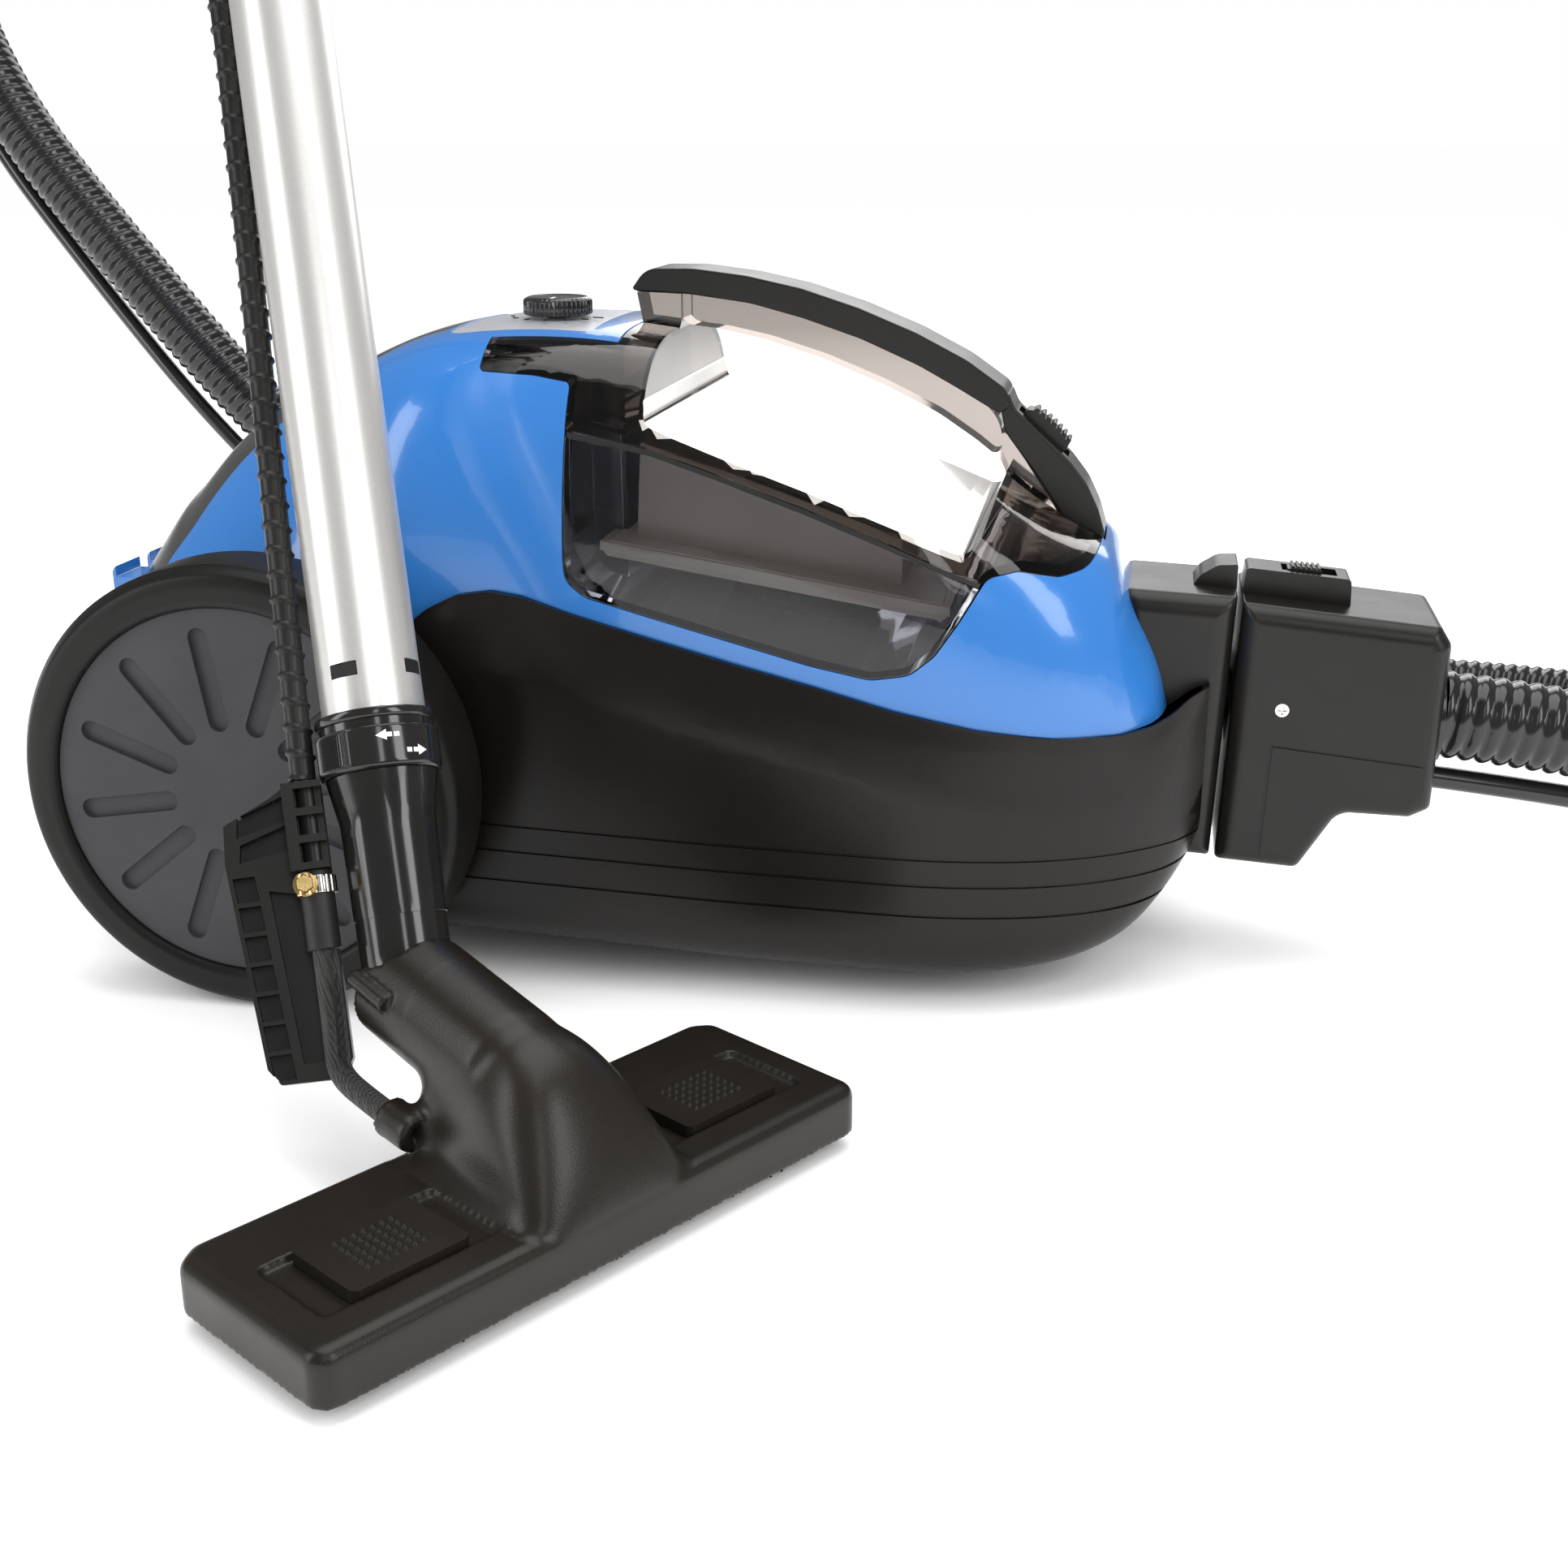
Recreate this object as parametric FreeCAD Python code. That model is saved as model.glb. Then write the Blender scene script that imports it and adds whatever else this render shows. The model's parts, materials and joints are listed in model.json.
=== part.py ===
import FreeCAD, Part
from FreeCAD import Vector as V
import os
import math

# ---------------------------------------------------------------------------
# Canister vacuum cleaner with a lift-off clear tank, two large rear wheels,
# a front caster, a side-clipped suction hose and a wand that stands on its
# floor nozzle.  Millimetres, +X forward, +Y to the machine's left, +Z up.
# Modelled about the rear axle, then shifted so that the origin is the centre
# of the machine's footprint on the floor.
# ---------------------------------------------------------------------------
ORIGIN = (132.724, -53.083)       # footprint centre in axle coordinates
WHEEL_R = 95.0                 # rear wheel radius
WHEEL_IN, WHEEL_OUT = 110.0, 150.0
HUB_R = 78.0
AXLE_R = 4.0
WALL = 3.0                     # shell wall
TANK_WALL = 2.5
CASTER_R = 21.0
TUBE_R = 18.25                 # wand tube outside radius
TUBE_WALL = 1.2
LOWER_TUBE = 430.0
UPPER_TUBE = 380.0
HOSE_R = 19.0                  # suction hose outside radius
WATER_R = 5.0                  # water tube outside radius
NOZ_L, NOZ_D, NOZ_TOP = 232.0, 82.0, 25.0
KNOB_R = 15.0

os.makedirs("parts", exist_ok=True)
NODES = {}


def put(name, shape):
    shape = shape.copy()
    shape.translate(V(-ORIGIN[0], -ORIGIN[1], 0))
    NODES[name] = shape
    bad = [s.Volume for s in shape.Solids]
    print("%-22s solids %d valid %s vol %.1f cm3" % (name, len(shape.Solids), shape.isValid(), shape.Volume / 1000.0), [round(v) for v in bad][:8])
    shape.exportStep("parts/%s.step" % name)


def lerp(table, x):
    if x <= table[0][0]:
        return table[0][1]
    for (a, va), (b, vb) in zip(table, table[1:]):
        if x <= b:
            return va + (vb - va) * (x - a) / (b - a)
    return table[-1][1]


def box(x0, x1, y0, y1, z0, z1):
    return Part.makeBox(x1 - x0, y1 - y0, z1 - z0, V(x0, y0, z0))


def cyl(r, a, b):
    a, b = V(*a), V(*b)
    return Part.makeCylinder(r, (b - a).Length, a, b - a)


def ring(ro, ri, a, b):
    return cyl(ro, a, b).cut(cyl(ri, a, b))


def fuse(*s):
    out = s[0]
    for k in s[1:]:
        out = out.fuse(k)
    return out.removeSplitter()


def round_wire(pts, closed=True):
    """Straight runs joined by tangent arcs.  pts are (Vector, radius)."""
    n = len(pts)
    P = [p for p, _ in pts]
    R = [r for _, r in pts]
    corner = []
    for i in range(n):
        if not closed and i in (0, n - 1):
            corner.append((P[i], None, P[i]))
            continue
        a, b, c = P[i - 1], P[i], P[(i + 1) % n]
        u, w = (a - b), (c - b)
        lu, lw = u.Length, w.Length
        u.normalize()
        w.normalize()
        ang = u.getAngle(w)
        if R[i] <= 0 or ang > math.pi - 1e-3:
            corner.append((b, None, b))
            continue
        tl = min(R[i] / math.tan(ang / 2), 0.48 * min(lu, lw))
        r = tl * math.tan(ang / 2)
        bis = u + w
        bis.normalize()
        centre = b + bis * (r / math.sin(ang / 2))
        mid = centre - bis * r
        corner.append((b + u * tl, mid, b + w * tl))
    edges = []
    m = n if closed else n - 1
    for i in range(n):
        s, mid, e = corner[i]
        if mid is not None:
            edges.append(Part.Arc(s, mid, e).toShape())
        if i < m:
            nx = corner[(i + 1) % n][0]
            if (nx - e).Length > 1e-6:
                edges.append(Part.LineSegment(e, nx).toShape())
    return Part.Wire(edges)


def prism_xz(pts, y0, y1, r=3.0):
    """Prism along Y of a rounded outline given as (x, z) or (x, z, radius)."""
    pp = [(V(p[0], y0, p[1]), (p[2] if len(p) > 2 else r)) for p in pts]
    return Part.Face(round_wire(pp)).extrude(V(0, y1 - y0, 0))


def prism_xy(pts, z0, z1, r=3.0):
    pp = [(V(p[0], p[1], z0), (p[2] if len(p) > 2 else r)) for p in pts]
    return Part.Face(round_wire(pp)).extrude(V(0, 0, z1 - z0))


def try_fillet(s, r, pick):
    ed = [e for e in s.Edges if pick(e)]
    for k in (1.0, 0.6, 0.3):
        try:
            f = s.makeFillet(r * k, ed)
            if f.isValid() and f.Volume > 0.5 * s.Volume:
                return f
        except Exception:
            pass
    print("   fillet skipped")
    return s


def offset_line(pts, t):
    """Offset a left-to-right profile line downwards (to its inside) by t."""
    out = []
    n = len(pts)
    for i in range(n):
        a = pts[max(0, i - 1)]
        b = pts[min(n - 1, i + 1)]
        dx, dz = b[0] - a[0], b[1] - a[1]
        k = math.hypot(dx, dz)
        out.append((pts[i][0] + t * dz / k, pts[i][1] - t * dx / k))
    return out


# ---------------------------------------------------------------------------
# Outer forms of the body
# ---------------------------------------------------------------------------
ROOF = [(-100, 152), (-94, 168), (-77, 190), (-59, 208.5), (-41, 225), (-10, 244.5), (16, 256.5), (36, 265.5), (55, 271.5),
        (78, 275), (104, 276.5), (132, 275.5), (160, 272), (195, 264.5), (220, 256.5), (245, 246.5), (270, 234), (300, 213),
        (315, 203), (328, 195), (343, 187), (352, 175), (361, 158), (371, 135), (380, 108)]
UP_W = [(-100, 44), (-94, 50), (-77, 60), (-59, 69), (-41, 77), (-10, 87), (20, 92.5), (60, 96), (100, 97), (260, 97), (300, 94),
        (328, 87), (343, 79), (352, 73), (361, 65), (371, 56), (380, 46)]
UP_N = [(-100, 2.2), (-41, 2.4), (20, 3.2), (60, 4.0), (328, 4.0), (361, 3.0), (380, 2.6)]
UP_BASE = 84.0
SEAM = [(-130, 150), (40, 150), (58, 156), (68, 164), (81, 170.5), (95.5, 172.8), (109.3, 171), (129.7, 164.7), (163.7, 155.4),
        (197.4, 146.8), (230.8, 138.8), (264, 130), (296.8, 123.2), (329.3, 119), (354.9, 117.5), (367.5, 118.2), (375.2, 122), (382, 128), (430, 150)]
LOW_W = [(-92, 58), (-82, 70), (-65, 82), (-35, 95), (0, 101), (40, 104.5), (80, 106), (200, 107), (262, 105), (300, 100), (330, 91),
         (350, 80), (366, 68), (380, 54), (390, 42)]
LOW_Z = [(-92, 62), (-82, 45), (-65, 32), (-35, 23), (0, 20), (85, 17.5), (200, 13), (277, 11), (300, 11), (321, 12.5), (341, 16),
         (356, 21), (370, 31), (382, 46), (390, 60)]


def upper_section(x, off=0.0, roof=None):
    w = lerp(UP_W, x) - off
    zr = lerp(roof or ROOF, x)
    n = lerp(UP_N, x)
    h = zr - UP_BASE
    pts = []
    for k in range(25):
        a = math.pi * k / 24
        c, s = math.cos(a), math.sin(a)
        pts.append(V(x, -w * math.copysign(abs(c) ** (2 / n), c), UP_BASE + h * abs(s) ** (2 / n)))
    curve = Part.BSplineCurve()
    curve.buildFromPoles(pts, False, 3)
    return Part.Wire([curve.toShape(), Part.LineSegment(pts[-1], pts[0]).toShape()])


def upper_form(off=0.0):
    roof = offset_line(ROOF, off)
    xs = [-100, -94, -85, -72, -56, -41, -20, 0, 20, 40, 60, 80, 110, 150, 195, 232, 265, 300, 328, 343, 352, 361, 371, 380]
    lo, hi = -100 + off, 380 - off
    xs = sorted({min(max(x, lo), hi) for x in xs})
    return Part.makeLoft([upper_section(x, off, roof) for x in xs], True, False)


def lower_section(x, off=0.0):
    wl = lerp(LOW_W, x) - off
    zb = lerp(LOW_Z, x) + off
    zs = lerp(SEAM, x)
    wu = min(lerp(UP_W, max(-94, min(x, 379))) + 1.5 - off, wl - 1.0)
    sh = max(zs - 40, zb + 34)
    half = [(wu - 1, zs + 14), (wu, zs + 4), (wu + 0.6, zs - 2), (wu + 0.45 * (wl - wu), zs - 9), (wl - 1.5, zs - 22), (wl, 0.5 * (zs - 22 + sh)),
            (wl, sh), (wl, zb + 30), (wl - 1.0, zb + 16), (wl - 7, zb + 5), (wl - 18, zb), (wl - 34, zb), (0.25 * wl, zb)]
    pts = [V(x, -y, z) for y, z in half] + [V(x, y, z) for y, z in reversed(half)]
    curve = Part.BSplineCurve()
    curve.buildFromPoles(pts, False, 3)
    return Part.Wire([curve.toShape(), Part.LineSegment(pts[-1], pts[0]).toShape()])


def lower_form(off=0.0):
    xs = [-92, -82, -65, -35, 0, 30, 58, 81, 100, 130, 164, 200, 231, 264, 297, 321, 341, 356, 370, 382, 390]
    lo, hi = -92 + off, 390 - off
    xs = sorted({min(max(x, lo), hi) for x in xs})
    return Part.makeLoft([lower_section(x, off) for x in xs], True, False)


below_seam = prism_xz([(p[0], p[1], 14) for p in SEAM] + [(430, -30, 0), (-130, -30, 0)], -200, 200, 14)
above_seam = prism_xz([(p[0], p[1], 14) for p in SEAM] + [(430, 360, 0), (-130, 360, 0)], -200, 200, 14)

UP = upper_form(0)
UP_IN = upper_form(WALL)
UP_TANKIN = upper_form(TANK_WALL)
LOW = lower_form(0)
LOW_IN = lower_form(WALL)
body_solid = LOW.common(below_seam).fuse(UP.common(above_seam))
print("forms", UP.isValid(), UP_IN.isValid(), LOW.isValid(), LOW_IN.isValid(), body_solid.isValid())

# ---------------------------------------------------------------------------
# Tank region, hand hole, control island
# ---------------------------------------------------------------------------
WINDOW = [(137, 330, 0), (87, 330, 0), (87, 259, 2), (110.6, 258, 20), (126.8, 255.6, 3), (126.8, 186.4, 6),
          (127.6, 178, 8), (135.4, 171.6, 12), (162.6, 164.3, 60), (196.4, 155.7, 60), (229.9, 147.1, 60), (254, 142.5, 14), (269.6, 145, 12),
          (279.2, 152.9, 12), (288.6, 166.7, 30), (298.6, 183.7, 7), (310.3, 185.7, 6), (326.2, 182.1, 14), (337.1, 183.5, 8), (350, 196, 4), (362, 215, 0), (362, 330, 0)]


def grown(pts, d):
    """Outline moved outwards by d (negative moves it inwards)."""
    w = round_wire([(V(p[0], 0, p[1]), p[2]) for p in pts])
    return w.makeOffset2D(d, 0, False, False, True) if abs(d) > 1e-9 else w


def prism_w(w, y0, y1):
    w = w.copy()
    w.translate(V(0, y0, 0))
    return Part.Face(w).extrude(V(0, y1 - y0, 0))


HOLE = [(157.8, 330, 0), (157.8, 249, 20), (158.4, 240, 6), (170.8, 235.2, 10), (192, 227.6, 60), (225.3, 216, 60), (258.7, 203.3, 60), (280, 195, 12), (290, 191.5, 6),
        (295.6, 199, 7), (300, 214, 20), (300, 330, 0)]
ISLAND_Y = 53.0
island_block = box(60, 141, -ISLAND_Y, ISLAND_Y, 240, 330)
tank_cut = prism_w(grown(WINDOW, 0.4), -150, 150).cut(box(60, 141.4, -ISLAND_Y - 0.0, ISLAND_Y + 0.0, 254.6, 330))
tank_keep = prism_w(grown(WINDOW, 0), -150, 150).cut(box(60, 141.8, -ISLAND_Y - 0.4, ISLAND_Y + 0.4, 100, 330))
hole = prism_w(grown(HOLE, 0), -150, 150)
hole_wall = prism_w(grown(HOLE, TANK_WALL), -151, 151)

# upper cover, blue
cover = UP.cut(UP_IN).common(above_seam)
cover = cover.cut(prism_w(grown(WINDOW, 0.4), -150, 150).cut(box(60, 141.0, -ISLAND_Y, ISLAND_Y, 240, 330)))
panel_foot = prism_xy([(64, -46, 8), (128, -46, 4), (128, 46, 4), (64, 46, 8)], 240, 320)
UP_P = upper_form(1.7)
UP_P2 = upper_form(0.5)
panel_pocket = panel_foot.cut(UP_P)
cover = cover.cut(panel_pocket)
# rear spine trim
trim_foot = prism_xy([(-110, -36, 0), (-60, -46, 30), (20, -44, 60), (62, -34, 10), (62, 34, 10), (20, 44, 60), (-60, 46, 30), (-110, 36, 0)], 155, 320)
cover = cover.cut(trim_foot.cut(UP_P))
trim = trim_foot.common(UP.cut(UP_P))
trim = trim.common(box(-120, 70, -60, 60, 158, 330))
cover_pad = box(-97, -80, -20, 20, 158, 166)
# nose opening for the suction duct
DUCT_Z = 113.0
duct_hole = cyl(20.0, (340, 0, DUCT_Z), (420, 0, DUCT_Z))
cover = cover.cut(duct_hole)
knob_hole = cyl(5.2, (104, -14, 230), (104, -14, 300))
cover = cover.cut(knob_hole)
cover = cover.cut(cyl(5.0, (-104, 0, 200), (-60, 0, 200)))
cover = cover.cut(box(327.6, 343.2, -14.4, 14.4, 179.4, 260))     # socket for the handle's front leg
cover = sorted(cover.Solids, key=lambda s: -s.Volume)[0]
put("upper_cover", cover)
put("rear_spine_trim", sorted(trim.cut(cyl(4.2, (-110, 0, 200), (-60, 0, 200))).Solids, key=lambda s: -s.Volume)[0])
panel = panel_foot.common(UP_P2.cut(UP_P)).cut(knob_hole)
put("control_panel", panel)

# power knob on its spindle
kz = 275.2
knob = fuse(cyl(KNOB_R, (104, -14, kz + 1.2), (104, -14, kz + 9)), cyl(4.9, (104, -14, 262), (104, -14, kz + 1.2)))
knob = try_fillet(knob, 1.2, lambda e: abs(e.BoundBox.ZMin - (kz + 9)) < 0.01 and abs(e.BoundBox.ZMax - (kz + 9)) < 0.01)
knob = knob.cut(box(103.3, 104.7, -28, -17, kz + 8.2, kz + 10))
put("power_knob", knob)
switch = box(94, 114, -24, -4, 246, 261.6)
put("speed_control", fuse(switch, box(96, 98.5, -22, -19.5, 261.6, 268)))

# ---------------------------------------------------------------------------
# Tank: cup, gasket, lid, separator, filter, partition
# ---------------------------------------------------------------------------
T_out = UP.common(tank_keep).cut(hole)
win_in = prism_w(grown(WINDOW, -TANK_WALL), -150, 150).cut(box(60, 144.3, -ISLAND_Y - 2.9, ISLAND_Y + 2.9, 100, 330))
T_in = UP_TANKIN.common(win_in).cut(hole_wall)
T_shell = T_out.cut(T_in)
SPLIT = [(60, 244), (125, 236.5), (160, 230), (190, 220.5), (225, 208.5), (259, 195.5), (285, 184.8), (303, 178), (400, 150)]


def split_prism(dz, up):
    top = 340 if up else 60
    return prism_xz([(x, z + dz, 20) for x, z in SPLIT] + [(400, top, 0), (60, top, 0)], -160, 160, 20)


cup = T_shell.common(split_prism(-1.0, False))
lid = T_shell.common(split_prism(1.0, True))
cup = sorted(cup.Solids, key=lambda s: -s.Volume)[0]
lid_s = sorted(lid.Solids, key=lambda s: -s.Volume)
print("lid solids", [round(s.Volume) for s in lid_s])
gasket = T_out.cut(T_in).common(split_prism(-1.0, True)).common(split_prism(1.0, False))
gasket = gasket.common(prism_w(grown(WINDOW, -0.6), -150, 150))
gasket = sorted(gasket.Solids, key=lambda s: -s.Volume)[0]

# handle arch, grip and leg (outlines in the XZ plane)
ARCH_LOW = [(157.8, 273.4), (175, 271.6), (195, 267.5), (220, 259.9), (244.9, 250.1), (269.8, 238.3), (286.4, 227.4), (298.4, 218.2)]
GRIP_LOW = [(139.3, 287.0), (162.5, 286.0), (189, 282.6), (212.1, 276.7), (236.8, 268.6), (261.5, 258.0), (277.9, 249.2), (296.5, 238.6)]
GRIP_TOP = [(137.4, 288), (143.6, 296.4), (164.3, 296.7), (187.6, 294), (210.8, 289.2), (235.6, 281.5), (260.4, 271.6), (281.7, 260.9), (299.2, 248.9)]
arch = prism_xz([(x, z, 60) for x, z in ARCH_LOW] + [(x, z - 0.2, 60) for x, z in reversed(GRIP_LOW[1:])] + [(157.8, 286.0, 0)], -11.5, 11.5, 60)
grip = prism_xz([(x, z, 60) for x, z in GRIP_LOW] + [(300.2, 242, 3)] + [(x, z, 40) for x, z in reversed(GRIP_TOP)], -15.5, 15.5, 40)
grip = try_fillet(grip, 6.0, lambda e: e.BoundBox.YLength < 0.01 and abs(e.BoundBox.YMin) > 15 and e.BoundBox.ZMax > 240 and (e.CenterOfMass.z > lerp([(p[0], p[1]) for p in GRIP_LOW], e.CenterOfMass.x) + 4))
rear_block = prism_xz([(139.5, 286.8, 0), (158.9, 286.0, 0), (158.9, 274, 2), (155.6, 264.7, 3), (148.8, 262.9, 4), (142.4, 263.5, 3), (142.4, 272, 4)], -14.5, 14.5, 2)
LEG = [(299.0, 249.0, 1), (302.5, 241.0, 8), (326.5, 219.5, 20), (334.2, 209.8, 20), (339.6, 199, 20), (342.6, 189.6, 3), (341.5, 180, 2), (333, 180, 2), (328.6, 190.3, 12), (320.6, 201, 20), (313.1, 212.2, 20), (304.6, 223.4, 20), (298.5, 231.3, 6), (296.7, 240, 2)]
leg = prism_xz(LEG, -14, 14, 6)
leg = try_fillet(leg, 4.0, lambda e: e.BoundBox.YLength < 0.01 and abs(e.BoundBox.YMin) > 13.5)
front_block = prism_xz([(300.6, 229.5, 3), (296.9, 231, 2), (296.9, 219.6, 0), (299.5, 214, 2), (300.4, 205, 0), (328.0, 188, 0), (319.9, 201, 0), (312.6, 211.6, 0)], -11.5, 11.5, 2)
# lid takes the smoky blocks that carry the handle
lid_main = lid_s[0]
for s in lid_s[1:]:
    if s.Volume > 400:
        lid_main = lid_main.fuse(s)
lid_blocks = rear_block.cut(T_in).fuse(front_block.cut(T_in))
lid_full = lid_main.fuse(lid_blocks).fuse(arch.cut(T_in)).cut(grip).cut(leg)
lid_full = lid_full.removeSplitter()
print("lid_full", [round(s.Volume) for s in lid_full.Solids])
lid_full = sorted(lid_full.Solids, key=lambda s: -s.Volume)[0]
leg = leg.cut(T_out).cut(grip)
leg = sorted(leg.Solids, key=lambda s: -s.Volume)[0]

# release slider in a pocket on the leg's crest
su = V(326.5 - 302.5, 0, 219.5 - 241.0)
su.normalize()
sn = V(-su.z, 0, su.x)
if sn.z < 0:
    sn = sn * -1
so = V(302.5, 0, 241.0)


def sl(u, n):
    p = so + su * u + sn * n
    return (p.x, p.z)


pocket = prism_xz([sl(2.0, -3.2) + (0,), sl(31, -3.2) + (0,), sl(31, 9) + (0,), sl(2.0, 9) + (0,)], -7.3, 7.3, 0)
leg = leg.cut(pocket)
teeth = [sl(4.6, -3.0) + (0,), sl(28.0, -3.0) + (0,), sl(28.0, 2.0) + (0,)]
k = 28.0
for i in range(7):
    teeth += [sl(k - 0.9, 5.6 + 0.9 * math.sin(math.pi * (i + .5) / 7)) + (0.5,), sl(k - 2.2, 5.6 + 0.9 * math.sin(math.pi * (i + .5) / 7)) + (0.5,), sl(k - 2.9, 3.6 + 0.9 * math.sin(math.pi * (i + .5) / 7)) + (0.3,)]
    k -= 3.1
teeth += [sl(4.6, 2.5) + (0,)]
slider = prism_xz(teeth, -7.0, 7.0, 0)
put("tank_lid", lid_full)
put("tank_cup", cup)
put("tank_gasket", gasket)
put("handle_grip", grip)
put("handle_front_leg", leg)
put("tank_release_slider", slider)

# separator: frame plate sloping with the tank floor, clear walls above it
sep = prism_xz([(140, 193, 3), (283, 171, 3), (283, 164, 3), (140, 186, 3)], -80, 80, 2)
walls_o = prism_xz([(150, 191.3, 0), (262, 174, 0), (262, 193.5, 0), (225, 206.4, 0), (190, 218.3, 0), (152, 229.5, 0)], -62, 62, 0)
walls_i = prism_xz([(152, 180, 0), (260, 165, 0), (260, 212, 0), (152, 250, 0)], -60, 60, 0)
sep = sep.fuse(walls_o).cut(walls_i)
rim_o = prism_xz([(139, 192.4, 0), (284, 170.2, 0), (284, 166.2, 0), (139, 188.4, 0)], -81.5, 81.5, 0)
sep = sep.fuse(rim_o.cut(walls_i)).common(T_in.common(split_prism(-1.4, False))).removeSplitter()
sep = sorted(sep.Solids, key=lambda s: -s.Volume)[0]
FX = 214.0
filt = cyl(33, (FX, 0, 150.0), (FX, 0, 205)).cut(prism_xz([(150, 226, 0), (300, 178.6, 0), (300, 260, 0), (150, 260, 0)], -60, 60, 0))
filt = filt.common(T_in).common(split_prism(-1.4, False)).cut(sep)
filt = sorted(filt.Solids, key=lambda s: -s.Volume)[0]
part_wall = box(252, 255, -58, 58, 140, 192).common(T_in).cut(sep)
part_wall = sorted(part_wall.common(split_prism(-1.4, False)).Solids, key=lambda s: -s.Volume)[0]
sep = sorted(sep.fuse(part_wall).removeSplitter().Solids, key=lambda s: -s.Volume)[0]
filt = sorted(filt.cut(part_wall).Solids, key=lambda s: -s.Volume)[0]
put("dirt_separator", sep)
put("filter_cartridge", filt)

# ---------------------------------------------------------------------------
# Lower shell with bosses, bulkheads, caster pocket, wall grooves
# ---------------------------------------------------------------------------
lower = LOW.cut(LOW_IN).common(below_seam)
UPc = UP
LOW1 = lower_form(0.9)
for zg in (75.5, 64.0, 50.5):
    slab = Part.Face(round_wire([(V(60, -160, zg), 0), (V(400, -160, zg - 8.5), 0), (V(400, -160, zg - 10.0), 0), (V(60, -160, zg - 1.5), 0)])).extrude(V(0, 320, 0))
    lower = lower.cut(slab.cut(LOW1))
CX, CPOCK_R, CPOCK_Z = 298.0, 37.0, 58.0
pock_o = cyl(CPOCK_R + 3, (CX, 0, 5), (CX, 0, CPOCK_Z + 3)).common(LOW)
lower = lower.fuse(pock_o)
lower = lower.cut(cyl(CPOCK_R, (CX, 0, 0), (CX, 0, CPOCK_Z)))
lower = lower.fuse(cyl(9, (CX, 0, CPOCK_Z), (CX, 0, CPOCK_Z + 16))).cut(cyl(4.05, (CX, 0, 40), (CX, 0, CPOCK_Z + 14)))
for s in (-1, 1):
    boss = cyl(12, (0, s * 60, WHEEL_R), (0, s * 108.5, WHEEL_R))
    lower = lower.fuse(boss).cut(cyl(AXLE_R, (0, s * 55, WHEEL_R), (0, s * 110, WHEEL_R)))
# motor saddles
MX0, MX1, MZ, MR = 96.0, 176.0, 78.0, 46.0
for xb in (100.0, 164.0):
    sad = box(xb, xb + 6, -88, 88, 10, MZ).common(LOW).cut(cyl(MR, (90, 0, MZ), (190, 0, MZ)))
    lower = lower.fuse(sad)
pump_pad = box(216, 250, -22, 22, 10, 22).common(LOW)
lower = lower.fuse(pump_pad)
reel_post = box(-30, 20, 26, 32, 15, 130).common(LOW)
lower = lower.fuse(reel_post)
lower = lower.cut(duct_hole)
lower = lower.cut(cyl(4.0, (-100, -30, 110), (-60, -30, 110)))
lower = lower.removeSplitter()
print("lower solids", [round(s.Volume) for s in lower.Solids])
lower = sorted(lower.Solids, key=lambda s: -s.Volume)[0]

motor = cyl(MR, (MX0, 0, MZ), (MX1, 0, MZ)).cut(cyl(MR - 5, (MX1 - 24, 0, MZ), (MX1 + 1, 0, MZ))).cut(cyl(4.05, (MX0 + 20, 0, MZ), (MX1, 0, MZ)))
put("motor_housing", motor)
fan = fuse(cyl(4.0, (MX0 + 21, 0, MZ), (MX1 - 22, 0, MZ)), cyl(38, (MX1 - 22, 0, MZ), (MX1 - 19, 0, MZ)), cyl(12, (MX1 - 19, 0, MZ), (MX1 - 6, 0, MZ)))
for i in range(7):
    a = 2 * math.pi * i / 7
    bl = box(MX1 - 19, MX1 - 8, -1, 1, 10, 37)
    bl.rotate(V(0, 0, 0), V(1, 0, 0), math.degrees(a))
    bl.translate(V(0, 0, MZ))
    fan = fan.fuse(bl)
put("motor_fan", fan.removeSplitter())
put("water_pump", fuse(box(218, 248, -20, 20, 22, 46), cyl(9, (233, 0, 46), (233, 0, 62))))
# cord reel on a spindle, held by the reel post
RZ, RR = 128.0, 52.0
RX = -5.0
spindle = fuse(cyl(6, (RX, 32, RZ - 12), (RX, 36, RZ - 12)), cyl(3, (RX, -24, RZ - 12), (RX, 32, RZ - 12)))
spz = RZ - 12
post_hole = cyl(3.0, (RX, 20, spz), (RX, 40, spz))
lower2 = lower.fuse(cyl(3.0, (RX, -24, spz), (RX, 27, spz))).removeSplitter()
put("lower_shell", sorted(lower2.Solids, key=lambda s: -s.Volume)[0])
reel = fuse(cyl(22, (RX, -14, spz), (RX, 22, spz)), cyl(RR, (RX, -16, spz), (RX, -13, spz)), cyl(RR, (RX, 21, spz), (RX, 24, spz))).cut(cyl(3.05, (RX, -30, spz), (RX, 40, spz)))
put("cord_reel", reel)

# mains cord outlet bush in the tail of the lower shell
bush = fuse(cyl(8.0, (-98.0, -30, 110), (-90.2, -30, 110)), cyl(4.0, (-90.2, -30, 110), (-80, -30, 110))).cut(cyl(2.6, (-100, -30, 110), (-70, -30, 110)))
bush = bush.cut(body_solid.cut(cyl(4.0, (-100, -30, 110), (-60, -30, 110))))
bush = sorted(bush.Solids, key=lambda s: -s.Volume)[0]
put("cord_outlet_bush", bush)

# park bracket on the tail, with a U-shaped notch open at the top
pb = prism_xz([(-112, 142, 3), (-80, 142, 0), (-80, 170, 3), (-104, 166, 5), (-112, 158, 4)], -28, 28, 3)
pb = pb.cut(box(-106, -97, -8, 8, 140, 180)).cut(box(-114, -104, -5, 5, 140, 180))
pb = pb.cut(body_solid).cut(trim).cut(trim_foot)
pb = sorted(pb.Solids, key=lambda s: -s.Volume)[0]
put("park_bracket", pb)

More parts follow.
